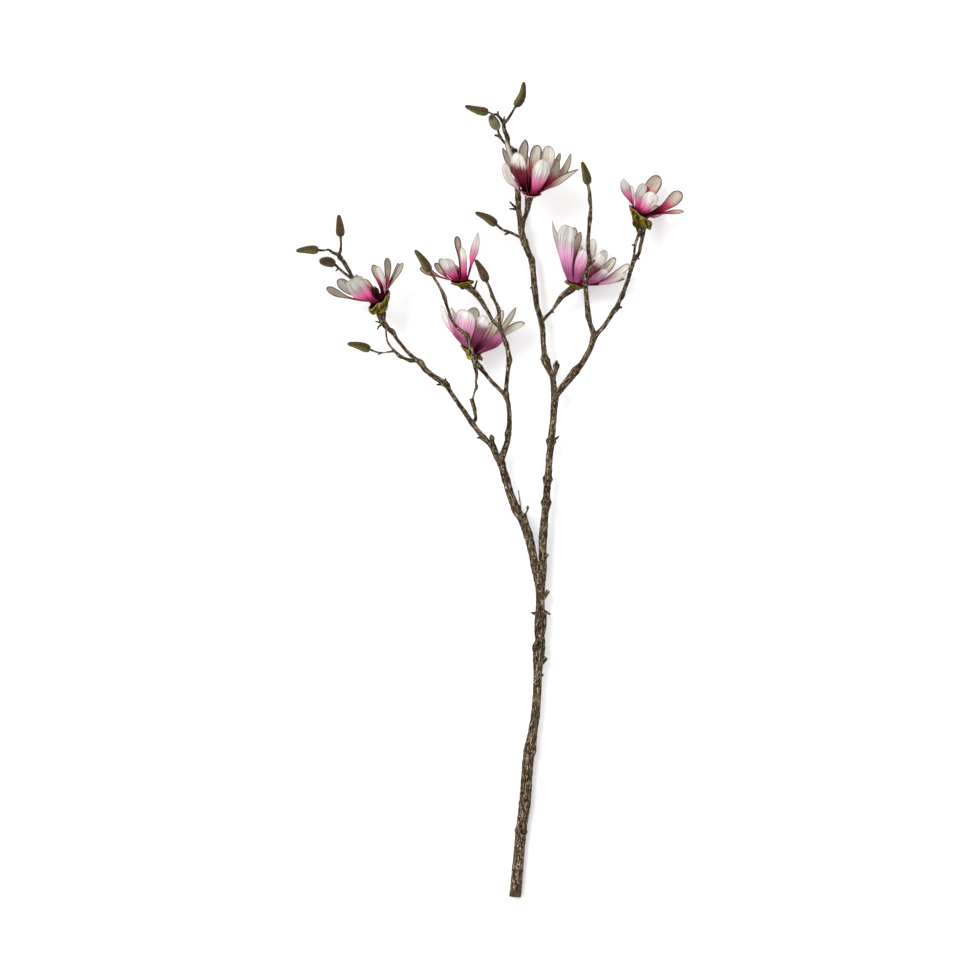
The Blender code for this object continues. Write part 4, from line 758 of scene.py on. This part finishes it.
def stamen_finish():
    """Dark maroon at the foot, orange-brown at the tips, all kept near black: partly their own colour and
    partly painted shade in the bloom's hollow.
    """
    stamen = Finish("stamen", 0.8, {"Specular IOR Level": 0.0})
    along = stamen.parts(stamen.attribute("blade"))[0]
    stamen.colour(stamen.ramp(along, STAMEN_HOLLOW_SHADE_STOPS))
    return stamen.material


BROWN_DOWN_STOPS = [
    (0.30, (0.020, 0.012, 0.006)), (0.55, (0.060, 0.038, 0.019)), (0.75, (0.17, 0.125, 0.070)),
]


def bud_finish(name, tone):
    """Velvety down: its own tone in the middle of a scale, brown along its seam, foot and tip."""
    down = Finish(name, 0.95, {
        "Specular IOR Level": 0.08, "Sheen Weight": 0.1, "Sheen Roughness": 0.45,
        "Sheen Tint": (0.80, 0.78, 0.60, 1.0),
    })
    along, seam, seed = down.parts(down.attribute("bud"))
    fibres = down.noise(down.vector(down.times(along, 9.0), down.times(seam, 7.0), seed), 2.4, 4.0, 0.65)
    dark = tuple(0.35 * part for part in tone)
    light = tuple(1.9 * part for part in tone)
    fresh = down.ramp(fibres, [(0.36, dark), (0.50, tone), (0.66, light)])
    brown = down.ramp(fibres, BROWN_DOWN_STOPS)
    edge = down.maths("MAXIMUM", down.level(seam, 0.66, 0.96), down.level(along, 0.12, 0.0))
    worn = down.maths("MAXIMUM", edge, down.level(along, 0.80, 0.98))
    down.colour(down.mix(worn, fresh, brown))
    down.bump(fibres, 0.5, 0.0007)
    return down.material


# Geometry helpers

def smoothstep(low, high, value):
    """0 at low, 1 at high and smooth between them."""
    share = min(1.0, max(0.0, (value - low) / (high - low)))
    return share * share * (3 - 2 * share)


def turn_angles(count):
    """Evenly spaced angles round a full turn, in radians."""
    return [2 * math.pi * index / count for index in range(count)]


def spoke(first, second, angle):
    """The direction at an angle in the plane of two others."""
    return first * math.cos(angle) + second * math.sin(angle)


def smooth_route(points, spacing):
    """Points on a smooth curve through the given ones, no further apart than about spacing."""
    knots = [Vector(point) for point in points]
    ends = [2 * knots[0] - knots[1]] + knots + [2 * knots[-1] - knots[-2]]
    route = []
    for before, start, end, after in zip(ends, ends[1:], ends[2:], ends[3:]):
        steps = max(1, round((end - start).length / spacing))
        for step in range(steps):
            t = step / steps
            route.append(0.5 * (
                2 * start + (end - before) * t + (2 * before - 5 * start + 4 * end - after) * t ** 2
                + (3 * start - before - 3 * end + after) * t ** 3
            ))
    return route + [knots[-1]]


def ring_frames(route):
    """The direction along a route and two directions square to it, at each of its points."""
    places = [Vector(point[:3]) for point in route]
    frames = []
    first = (places[1] - places[0]).orthogonal()
    for before, after in zip(places[:1] + places[:-1], places[1:] + places[-1:]):
        ahead = (after - before).normalized()
        first = (first - ahead * first.dot(ahead)).normalized()
        frames.append((ahead, first, ahead.cross(first)))
    return frames


def add_object(name, data):
    """A new object in the scene."""
    made = bpy.data.objects.new(name, data)
    bpy.context.scene.collection.objects.link(made)
    return made


class Shape:
    """Points in millimetres, faces and point attributes, gathered for one mesh."""

    def __init__(self, *attributes):
        self.points = []
        self.faces = []
        self.marks = {name: [] for name in attributes}

    def add(self, point, **marks):
        self.points.append(point)
        for name, values in self.marks.items():
            values.append(marks.get(name, (0.0, 0.0, 0.0)))
        return len(self.points) - 1

    def bridge(self, low, high, closed=True):
        """Quads between two rows of points of the same number."""
        count = len(low)
        for index in range(count if closed else count - 1):
            beside = (index + 1) % count
            self.faces.append((low[index], low[beside], high[beside], high[index]))

    def loft(self, rings):
        """Bridges each closed ring of points to the next."""
        for low, high in zip(rings, rings[1:]):
            self.bridge(low, high)

    def fan(self, ring, hub, turned=False):
        """Triangles from a ring to one point, turned over at a shape's start."""
        for index, corner in enumerate(ring):
            beside = ring[(index + 1) % len(ring)]
            self.faces.append((beside, corner, hub) if turned else (corner, beside, hub))

    def build(self, name, *materials):
        mesh = bpy.data.meshes.new(name)
        mesh.from_pydata([point * MM for point in self.points], [], self.faces)
        for key, values in self.marks.items():
            layer = mesh.attributes.new(key, "FLOAT_VECTOR", "POINT")
            layer.data.foreach_set("vector", [part for value in values for part in value])
        for material in materials:
            mesh.materials.append(material)
        mesh.shade_smooth()
        return add_object(name, mesh)


def apply_modifiers(piece):
    """Gives a piece the mesh that its modifiers make."""
    bpy.context.view_layer.update()
    graph = bpy.context.evaluated_depsgraph_get()
    piece.data = bpy.data.meshes.new_from_object(piece.evaluated_get(graph))
    piece.modifiers.clear()


def thicken(piece, thickness, rim_material=0):
    """Makes a surface a shell whose inner faces take its second material. thickness is in millimetres."""
    skin = piece.modifiers.new("thickness", "SOLIDIFY")
    skin.thickness = thickness * MM
    skin.offset = 0
    skin.material_offset = 1
    skin.material_offset_rim = rim_material
    apply_modifiers(piece)


def place_piece(piece, node):
    """Lets a finished piece stand for a solid and ride where it rides."""
    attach(piece, "root")
    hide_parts(node)


# Wood

def knot_lengths(points):
    """How far along a limb each of its given points lies."""
    lengths = [0.0]
    for start, end in zip(points, points[1:]):
        lengths.append(lengths[-1] + (Vector(end[:3]) - Vector(start[:3])).length)
    return lengths


def ring_places(points):
    """How far along a limb its swollen nodes lie: the given points that are fatter than both neighbours."""
    lengths = knot_lengths(points)
    found = []
    for index in range(1, len(points) - 1):
        if points[index][3] > points[index - 1][3] and points[index][3] > points[index + 1][3]:
            found.append(lengths[index])
    return found


def hollow_at(place, up):
    """How deep a hollow is under a point of the bark, in millimetres, on the side that faces up."""
    deepest = 0.0
    if up > 0.3:
        for x, y, half_width, half_length, depth in HOLLOWS:
            off = math.hypot((place.x - x) / half_width, (place.y - y) / half_length)
            deepest = max(deepest, depth * (1 - smoothstep(0.5, 1.0, off)))
    return deepest


def bark_relief(bark, strength):
    """How far the bark stands out at a place, in millimetres, and how much painted shade darkens a crevice
    there.
    """
    x, y, length = bark
    ridge = abs(noise.noise((x / RIDGE_WIDTH, y / RIDGE_WIDTH, length / RIDGE_PITCH)) + CRACK_LEVEL)
    knob = noise.noise((x / KNOB_SIZE + 7, y / KNOB_SIZE, length / KNOB_SIZE))
    crack_shade = 1 - smoothstep(0.0, CRACK_WIDTH, ridge)
    relief = RIDGE_DEPTH * (RIDGE_GAIN * ridge - RIDGE_SINK) + KNOB_DEPTH * knob
    return strength * relief, CRACK_SHADE * crack_shade


def ringed(radius, length, nodes):
    """A limb's radius with the swollen rings of its nodes, and how much painted shade darkens the grooves
    beside and between them.
    """
    groove = 0.0
    for node in nodes:
        for offset in RING_OFFSETS:
            radius += RING_DEPTH * math.exp(-((length - node - offset) / RING_WIDTH) ** 2)
        for offset in RING_GROOVES:
            groove += GROOVE_SHADE * math.exp(-((length - node - offset) / RING_WIDTH) ** 2)
    return radius, groove


def limb(name, points, seed, cut_start=False, cut_end=False, flared=True, dry=0.0):
    """A limb's closed tube, with ridges, swollen rings and a flare where it leaves its parent. dry darkens
    all of it."""
    widest = max(point[3] for point in points)
    sides = min(LIMB_MOST_SIDES, LIMB_FEWEST_SIDES + int(LIMB_SIDES_PER_MM * widest))
    route = smooth_route(points, LIMB_STEP)
    nodes = ring_places(points)
    shape = Shape("bark", "marks")
    rings = []
    length = 0.0
    before = Vector(route[0][:3])
    for point, (_, first, second) in zip(route, ring_frames(route)):
        centre = Vector(point[:3])
        length += (centre - before).length
        before = centre
        flare = 1 + FLARE_SHARE * math.exp(-length / FLARE_LENGTH) if flared else 1.0
        radius, groove = ringed(point[3] * flare, length, nodes)
        ring = []
        for angle in turn_angles(sides):
            radial = spoke(first, second, angle)
            bark = (math.cos(angle) * radius, math.sin(angle) * radius, length + seed * LIMB_SEED_STEP)
            relief, crack_shade = bark_relief(bark, min(1.0, radius / FULL_RELIEF_RADIUS))
            reach = radius + relief
            hollow = hollow_at(centre + radial * reach, radial.z)
            # dark is painted shade in hollows, crevices and ring grooves, and the real near-black of dead
            # spurs
            dark = min(1.0, max(hollow, crack_shade, dry, groove * (0.6 + 0.4 * math.sin(3 * angle + seed))))
            spot = centre + radial * (reach - hollow)
            spot.z = max(spot.z, WOOD_FLOOR)
            ring.append(shape.add(spot, bark=bark, marks=(0, dark, 0)))
        rings.append(ring)
    shape.loft(rings)
    close_limb(shape, rings[0], route[0], -ring_frames(route[:2])[0][0], cut_start, True)
    close_limb(shape, rings[-1], route[-1], ring_frames(route[-2:])[-1][0], cut_end, False)
    return shape.build(name)


def close_limb(shape, ring, end, outward, cut, turned):
    """Closes a limb's end with a flat pale cut face or with a low dome."""
    centre = Vector(end[:3])
    mark = (1 if cut else 0, 0, 0)
    last = ring
    for share, rise in CUT_STEPS if cut else DOME_STEPS:
        inner = []
        for index in ring:
            spot = centre + (shape.points[index] - centre) * share + outward * end[3] * rise
            inner.append(shape.add(spot, bark=tuple(spot * END_GRAIN), marks=mark))
        shape.loft([inner, last] if turned else [last, inner])
        last = inner
    hub = centre + outward * end[3] * (CUT_RISE if cut else DOME_RISE)
    shape.fan(last, shape.add(hub, bark=tuple(hub * END_GRAIN), marks=mark), turned)


def collar(bloom):
    """The last two points of a bloom's stem, square to the foot of the bloom."""
    seat = Vector(bloom.seat)
    below = seat - stem_direction(bloom) * COLLAR_LENGTH
    return [(*below, bloom.collar * COLLAR_TAPER), (*seat, bloom.collar)]


def wood():
    """The trunk with every limb, twig, spur and stub grown into it."""
    ends = {bloom.stem: collar(bloom) for bloom in BLOOMS.values()}
    pieces = bpy.data.collections.new("wood_pieces")
    bpy.context.scene.collection.children.link(pieces)
    trunk = None
    for seed, (name, points) in enumerate({**LIMBS, **SPURS}.items()):
        dead = name in SPURS and any(word in name for word in THORN_WORDS)
        made = limb("wood_" + name, points + ends.get(name, []), seed, cut_start=name == "trunk",
                    cut_end=name in CUT_STUBS, flared=name != "trunk", dry=THORN_DARKNESS if dead else 0.0)
        if trunk is None:
            trunk = made
        else:
            bpy.context.scene.collection.objects.unlink(made)
            pieces.objects.link(made)
    union = trunk.modifiers.new("union", "BOOLEAN")
    union.operation = "UNION"
    union.operand_type = "COLLECTION"
    union.collection = pieces
    union.solver = "MANIFOLD"
    apply_modifiers(trunk)
    for piece in list(pieces.objects):
        bpy.data.objects.remove(piece)
    bpy.data.collections.remove(pieces)
    trunk.name = "branch_wood"
    trunk.data.materials.clear()
    trunk.data.materials.append(bark_finish())
    trunk.data.shade_smooth()
    place_piece(trunk, "branch")


# Blooms

def stem_direction(bloom):
    """The way that a bloom's stem points where it ends."""
    return (Vector(bloom.mouth) - Vector(bloom.seat)).normalized()


def foot_length(bloom):
    """How far a bloom's mouth lies from its stem's end, in millimetres."""
    return (Vector(bloom.mouth) - Vector(bloom.seat)).length


def ring_frame(bloom, share, lift):
    """The middle of a level of a bloom's foot and two directions in its plane."""
    centre = Vector(bloom.seat).lerp(Vector(bloom.mouth), share) + stem_direction(bloom) * lift
    turned = smoothstep(0.0, bloom.rim * CALYX_KNEE, share)
    normal = stem_direction(bloom).lerp(Vector(bloom.axis).normalized(), turned)
    first = normal.cross(Vector((0, 0, 1))).normalized()
    return centre, first, normal.cross(first).normalized()


def blade_frame(bloom, leaf):
    """The root, the outward direction and the sideways direction of a tepal."""
    axis = Vector(bloom.axis).normalized()
    middle = Vector(bloom.seat).lerp(Vector(bloom.mouth), leaf.root_share)
    reach = leaf.tip - middle
    outward = (reach - axis * reach.dot(axis)).normalized()
    root = middle + outward * bloom.spread * ROOT_SPREAD
    return root, outward, axis.cross(outward)


def blade_midline(bloom, leaf, t):
    """The point at share t along a tepal's middle, in millimetres."""
    root, outward, side = blade_frame(bloom, leaf)
    chord = leaf.tip - root
    length = chord.length
    belly = side.cross(chord).normalized()
    if belly.dot(outward) < 0:
        belly = -belly
    bend = 4 * t * (1 - t) * leaf.bow * length
    rolled = max(0.0, t - TEPAL_ROLL_START) / (1 - TEPAL_ROLL_START)
    roll_in = leaf.curl * length * rolled ** 2
    across = math.sin(math.pi * t) * leaf.sweep * length
    return root + chord * t + belly * (bend + leaf.curl * length * t ** 4 - roll_in) + side * across


def blade_half_width(leaf, t):
    """A spoon outline: a narrow stalk, widest past two thirds, then a round or pointed tip."""
    grown = leaf.neck + (1 - leaf.neck) * smoothstep(leaf.slim, leaf.widest, t)
    past = max(0.0, t - leaf.widest) / (1 - leaf.widest)
    return leaf.width / 2 * grown * (1 - past ** TEPAL_TIP_ROUNDNESS) ** (0.5 + 0.5 * leaf.point)


def level_angle(ahead, side, inward):
    """The roll about the blade's length, within a quarter turn, that makes its width level."""
    level = ahead.cross(Vector((0, 0, 1)))
    if level.dot(side) < 0:
        level = -level
    return math.atan2(level.dot(inward), level.dot(side))


def blade_shares():
    """Shares of a tepal's length, closer together towards its round tip."""
    shares = []
    for row in range(TEPAL_ROWS + 1):
        share = row / TEPAL_ROWS
        crowded = share + TEPAL_TIP_CROWDING * math.sin(math.pi * share) * share
        shares.append(TEPAL_LAST_SHARE * crowded)
    return shares


def blade_section(leaf, u, t, seed):
    """How far across and how far in a point of a tepal lies, as shares of half its width: its cupped
    section with its rolled rims, waves and ruffles."""
    bend = max(0.02, 2 * (leaf.cup + math.copysign(leaf.skew, u)) * (0.65 + 0.35 * smoothstep(0.2, 0.7, t)))
    cupped = (1 - math.cos(u * bend)) / bend
    open_part = smoothstep(0.25, 0.6, t)
    rolled = TEPAL_RIM_ROLL * smoothstep(0.6, 1.0, abs(u)) * open_part
    waved = TEPAL_WAVE * noise.noise((u * 1.3, t * 3.2, seed * 5.7)) * smoothstep(0.1, 0.5, t)
    ruffled = leaf.ruffle * abs(u) ** 3 * math.sin(9 * t + 2.6 * math.copysign(1, u) + seed) * open_part
    return math.sin(u * bend) / bend, cupped + rolled + waved + ruffled


def add_tepal(shape, bloom, leaf, seed):
    """A cupped, softly waved blade whose faces look outwards."""
    root, _, side = blade_frame(bloom, leaf)
    length = (leaf.tip - root).length
    tone = (leaf.reach, leaf.warm, leaf.shade)
    last = None
    for t in blade_shares():
        centre = blade_midline(bloom, leaf, t)
        ahead = (blade_midline(bloom, leaf, t + 0.01) - blade_midline(bloom, leaf, t - 0.01)).normalized()
        inward = ahead.cross(side).normalized()
        roll = level_angle(ahead, side, inward) * leaf.turn * smoothstep(0.0, 0.6, t)
        across = spoke(side, inward, roll)
        lift = inward * math.cos(roll) - side * math.sin(roll)
        half = blade_half_width(leaf, t)
        row = []
        for column in range(TEPAL_COLUMNS + 1):
            u = 2 * column / TEPAL_COLUMNS - 1
            out, lifted = blade_section(leaf, u, t, seed)
            point = centre + across * (out * half) + lift * (half * lifted)
            point.z = max(point.z, TEPAL_FLOOR)
            inset = min((1 - abs(u)) * half, (1 - t) * length)
            row.append(shape.add(point, blade=(t, u, seed * TEPAL_SEED_STEP), tone=tone,
                                 edge=(inset, leaf.dry, bloom.lilac), look=(leaf.grey, 0, 0)))
        if last:
            shape.bridge(last, row, closed=False)
        last = row


def bloom_piece(number, bloom, finishes):
    """The tepals of a bloom, thickened, with their outer faces, inner faces and rims in their own colours."""
    shape = Shape("blade", "tone", "edge", "look")
    for index, leaf in enumerate(bloom.tepals):
        leaf.root_share = bloom.rim + ROOT_RISES[index % 2] / foot_length(bloom)
        add_tepal(shape, bloom, leaf, number * BLOOM_SEED_STEP + index)
    made = shape.build(f"bloom_{number}_tepals", *finishes)
    thicken(made, TEPAL_THICKNESS, rim_material=2)
    place_piece(made, f"bloom_{number}")


def calyx_profile(bloom):
    """Its radius as a share of the widest, its height as a share of the rim's and how it waves there."""
    floor = (bloom.collar + CALYX_FLOOR_MARGIN) / bloom.rosette
    return [
        (0.10, 0.0, 0.0), (floor, 0.0, 0.0), (CALYX_KNEE_WIDTH, CALYX_KNEE, CALYX_WAVE / 3),
        (0.95, 0.72, CALYX_WAVE * 2 / 3), (1.0, 1.0, CALYX_WAVE), (0.985, 1.07, CALYX_WAVE),
    ]


def calyx_piece(number, bloom, finishes):
    """The calyx of bud scales: a leathery, dented cup with a ragged rim, darker inside, partly its own brown
    and partly painted shade in the cup.
    """
    lift = GAP + SCALE_THICKNESS / 2
    shape = Shape("cup", "look")
    look = (CREAM_CALYXES.get(number, 0.0), 0, 0)
    hub = shape.add(Vector(bloom.seat) + stem_direction(bloom) * lift, cup=(0, 0, 0), look=look)
    rings = []
    for share, rise, wave in smooth_route(calyx_profile(bloom), CALYX_STEP):
        ring = []
        for angle in turn_angles(CALYX_SIDES):
            east = math.cos(angle)
            north = math.sin(angle)
            ragged = noise.noise((CALYX_RAG_PACE * east + number, CALYX_RAG_PACE * north, 0.5))
            rag = 1 - CALYX_RAG * (0.5 + ragged) * smoothstep(0.5, 1.0, share)
            centre, first, second = ring_frame(bloom, bloom.rim * rise * rag, lift)
            radial = spoke(first, second, angle)
            reach = bloom.rosette * share * (1 + wave * math.cos(4 * angle))
            spot = centre + radial * reach
            dent = noise.fractal(spot / CALYX_DENT_SIZE + Vector((number * 9, 0, 0)), 1.0, 2.0, 4)
            spot += radial * (dent * CALYX_DENT * smoothstep(0.2, 0.6, share))
            spot.z = max(spot.z, SCALE_THICKNESS)
            place = (east * share, north * share + number, rise)
            ring.append(shape.add(spot, cup=place, look=look))
        rings.append(ring)
    shape.fan(rings[0], hub, True)
    shape.loft(rings)
    made = shape.build(f"calyx_{number}_cup", *finishes)
    thicken(made, SCALE_THICKNESS)
    place_piece(made, f"calyx_{number}")


def add_tube(shape, route, sides, marks):
    """A closed tube along points of x, y, z and radius, with one mark a ring."""
    rings = []
    for point, (_, first, second), mark in zip(route, ring_frames(route), marks):
        ring = []
        for angle in turn_angles(sides):
            ring.append(shape.add(Vector(point[:3]) + spoke(first, second, angle) * point[3], blade=mark))
        rings.append(ring)
    shape.loft(rings)
    for end, turned in ((0, True), (-1, False)):
        hub = shape.add(Vector(route[end][:3]), blade=marks[end])
        shape.fan(rings[end], hub, turned)


def add_receptacle(shape, bloom):
    """The closed core that stands in the calyx and carries the tepals on its edge."""
    foot_lift = GAP * 2 + SCALE_THICKNESS
    levels = (
        (0.0, CORE_FOOT_RADIUS, foot_lift),
        (bloom.rim - CORE_WAIST_DROP, bloom.spread * CORE_WAIST, CORE_CLEARANCE),
        (bloom.rim + CORE_EDGE / foot_length(bloom), bloom.spread, CORE_CLEARANCE),
        (1.0, CORE_TOP_RADIUS, CORE_RISE),
    )
    rings = []
    for share, radius, lift in levels:
        centre, first, second = ring_frame(bloom, share, lift)
        ring = []
        for angle in turn_angles(CORE_SIDES):
            ring.append(shape.add(centre + spoke(first, second, angle) * radius, blade=(0.1, 0, 0)))
        rings.append(ring)
    shape.loft(rings)
    shape.fan(rings[0], shape.add(ring_frame(bloom, 0.0, foot_lift)[0], blade=(0, 0, 0)), True)
    shape.fan(rings[-1], shape.add(ring_frame(bloom, 1.0, CORE_RISE)[0], blade=(0, 0, 0)))


def add_cone(shape, foot, axis):
    """The cone of carpels, rippled up its length."""
    heights = [CONE_LENGTH * step / CONE_STEPS for step in range(CONE_STEPS + 1)]
    route = []
    for height in heights:
        share = height / CONE_LENGTH
        radius = CONE_RADIUS * math.sqrt(max(0.04, 1 - share ** 2)) * (1 + CONE_RIPPLE * math.sin(9 * height))
        route.append((*(foot + axis * (height - 1)), radius))
    add_tube(shape, route, CONE_SIDES, [(0.2 + 0.6 * height / CONE_LENGTH, 0, 0) for height in heights])


def add_stamens(shape, foot, axis, draw):
    """Curved stamens in rings round the cone."""
    first = axis.cross(Vector((0, 0, 1))).normalized()
    second = axis.cross(first)
    for height, reach, count in STAMEN_RINGS:
        for index in range(count):
            angle = 2 * math.pi * (index + 0.5 * (height % 4) + draw.uniform(-0.2, 0.2)) / count
            radial = spoke(first, second, angle)
            root = foot + axis * height + radial * STAMEN_FOOT
            middle = root + radial * reach * 0.7 + axis * 1.6
            tip = middle + radial * reach * draw.uniform(0.1, 0.35) + axis * draw.uniform(2.0, 3.6)
            points = [(*place, radius) for place, radius in zip((root, middle, tip), STAMEN_RADII)]
            route = smooth_route(points, STAMEN_STEP)
            last = len(route) - 1
            marks = [(0.3 + 0.7 * step / last, 0, 0) for step in range(last + 1)]
            add_tube(shape, route, STAMEN_SIDES, marks)


def stamens_piece(number, bloom, finish):
    """The receptacle, the cone of carpels on it and the curved stamens that ring it."""
    axis = Vector(bloom.axis).normalized()
    foot = Vector(bloom.mouth) + stem_direction(bloom) * CORE_RISE
    shape = Shape("blade")
    add_receptacle(shape, bloom)
    add_cone(shape, foot, axis)
    add_stamens(shape, foot, axis, random.Random(number))
    made = shape.build(f"stamens_{number}_cone", finish)
    place_piece(made, f"stamens_{number}")


# Buds

def bud_profile(share, profile):
    """The radius at a share of a bud's length, on a smooth curve through the given ones."""
    knots = [profile[0]] + profile + [profile[-1]]
    for before, low, high, after in zip(knots, knots[1:], knots[2:], knots[3:]):
        if share <= high[0]:
            break
    span = high[0] - low[0]
    t = (share - low[0]) / span
    rise_low = span * (high[1] - before[1]) / (high[0] - before[0])
    rise_high = span * (after[1] - low[1]) / (after[0] - low[0])
    return (
        low[1] * (1 + 2 * t) * (1 - t) ** 2 + rise_low * t * (1 - t) ** 2
        + high[1] * t * t * (3 - 2 * t) + rise_high * t * t * (t - 1)
    )


def bud_piece(name, spine, seed, finish):
    """A furry bud of two scales, swollen near its foot and drawn out to a blunt tip."""
    shape = Shape("bud")
    profile = ROUND_BUD_PROFILE if name in ROUND_BUDS else BUD_PROFILE
    route = smooth_route(spine, BUD_STEP)
    frames = ring_frames(route)
    rings = []
    draw = random.Random(seed)
    seam_turn = draw.uniform(0.2, 0.9)
    for index, (point, (_, first, second)) in enumerate(zip(route, frames)):
        share = index / (len(route) - 1)
        ring = []
        for angle in turn_angles(BUD_SIDES):
            radial = spoke(first, second, angle)
            seam = abs(math.cos(angle + seam_turn))
            groove = BUD_SEAM * smoothstep(0.93, 1.0, seam)
            down = BUD_DOWN * noise.noise((point + radial * BUD_SKIN) / BUD_DOWN_SIZE)
            reach = bud_profile(share, profile) * (1 - groove + down)
            ring.append(shape.add(point + radial * reach, bud=(share, seam, seed * BUD_SEED_STEP)))
        rings.append(ring)
    shape.loft(rings)
    shape.fan(rings[0], shape.add(route[0], bud=(0, 0, seed)), True)
    tip = route[-1] + frames[-1][0] * profile[-1][1] * 0.5
    shape.fan(rings[-1], shape.add(tip, bud=(1, 0, seed)))
    for _ in range(HAIR_COUNT):
        add_hair(shape, route, frames, profile, draw, seed)
    made = shape.build(f"{name}_down", finish)
    place_piece(made, name)


def add_hair(shape, route, frames, profile, draw, seed):
    """One short hair that lies forward along the bud, as a closed sliver."""
    share = draw.uniform(0.03, 0.97)
    index = int(share * (len(route) - 1))
    ahead, first, second = frames[index]
    radial = spoke(first, second, draw.uniform(0, 2 * math.pi))
    across = ahead.cross(radial)
    root = route[index] + radial * (bud_profile(share, profile) - HAIR_SINK)
    tip = root + (ahead * draw.uniform(0.5, 1.0) + radial * draw.uniform(0.45, 0.8)) * HAIR_LENGTH
    mark = (share, draw.uniform(0.2, 0.8), seed * BUD_SEED_STEP)
    offsets = (across * HAIR_WIDTH, -across * HAIR_WIDTH, -radial * HAIR_WIDTH * 2)
    corners = [shape.add(root + offset, bud=mark) for offset in offsets]
    end = shape.add(tip, bud=mark)
    shape.faces.append(tuple(reversed(corners)))
    shape.fan(corners, end)


# The stage

def soft_world():
    """White surroundings that grow brighter towards the upper left, as a large soft box would light them."""
    world = bpy.data.worlds.new("world")
    world.use_nodes = True
    nodes = world.node_tree.nodes
    links = world.node_tree.links
    background = nodes["Background"]
    background.inputs["Color"].default_value = (1.0, 1.0, 1.0, 1.0)
    lean = nodes.new("ShaderNodeVectorMath")
    lean.operation = "DOT_PRODUCT"
    lean.inputs[1].default_value = Vector(WORLD_WAY).normalized()
    strength = nodes.new("ShaderNodeMath")
    strength.operation = "MULTIPLY_ADD"
    strength.inputs[1].default_value = WORLD_LIGHT * WORLD_LEAN
    strength.inputs[2].default_value = WORLD_LIGHT
    links.new(nodes.new("ShaderNodeTexCoord").outputs["Generated"], lean.inputs[0])
    links.new(lean.outputs["Value"], strength.inputs[0])
    links.new(strength.outputs[0], background.inputs["Strength"])
    return world


def stage():
    """A pale floor, soft light from the upper left and a camera that looks straight down."""
    scene = bpy.context.scene
    bpy.ops.mesh.primitive_plane_add(size=FLOOR_SIZE, location=(0, 0, 0))
    floor = bpy.context.object
    floor.name = "floor"
    paint = Finish("floor_paint", 0.9, {"Base Color": (0.96, 0.96, 0.96, 1.0), "Specular IOR Level": 0.0})
    floor.data.materials.append(paint.material)
    scene.world = soft_world()
    light = bpy.data.lights.new("sun", "SUN")
    light.energy = SUN_POWER
    light.angle = math.radians(SUN_SOFTNESS)
    sun = add_object("sun", light)
    sun.rotation_euler = (-Vector(SUN_WAY)).to_track_quat("-Z", "Y").to_euler()
    view = bpy.data.cameras.new("camera")
    view.sensor_width = SENSOR_MM
    view.lens = SENSOR_MM * (CAMERA_HEIGHT - MIDDLE_HEIGHT) / VIEW_WIDTH
    view.clip_end = CAMERA_HEIGHT * 2
    camera = add_object("camera", view)
    camera.location = (0, 0, CAMERA_HEIGHT)
    scene.camera = camera
    scene.view_settings.view_transform = "Standard"


def main():
    stage()
    wood()
    tepal_faces = (
        tepal_finish("tepal_outer", OUTER_STOPS, LILAC_STOPS, 0.25, 0.38),
        tepal_finish("tepal_inner", INNER_STOPS, LILAC_INNER_STOPS, 0.8, 0.95),
        rim_finish(),
    )
    scales = scale_finish("calyx_scale", SCALE_STOPS), scale_finish("calyx_inside", SCALE_INSIDE_SHADE_STOPS)
    stamen = stamen_finish()
    for number, bloom in BLOOMS.items():
        bloom_piece(number, bloom, tepal_faces)
        calyx_piece(number, bloom, scales)
        stamens_piece(number, bloom, stamen)
    furs = {colour: bud_finish("bud_down_" + colour, tone) for colour, tone in BUD_COLOURS.items()}
    for seed, (name, spine) in enumerate(BUDS.items()):
        bud_piece(name, spine, seed + 1, furs[BUD_KINDS.get(name, "green")])


main()
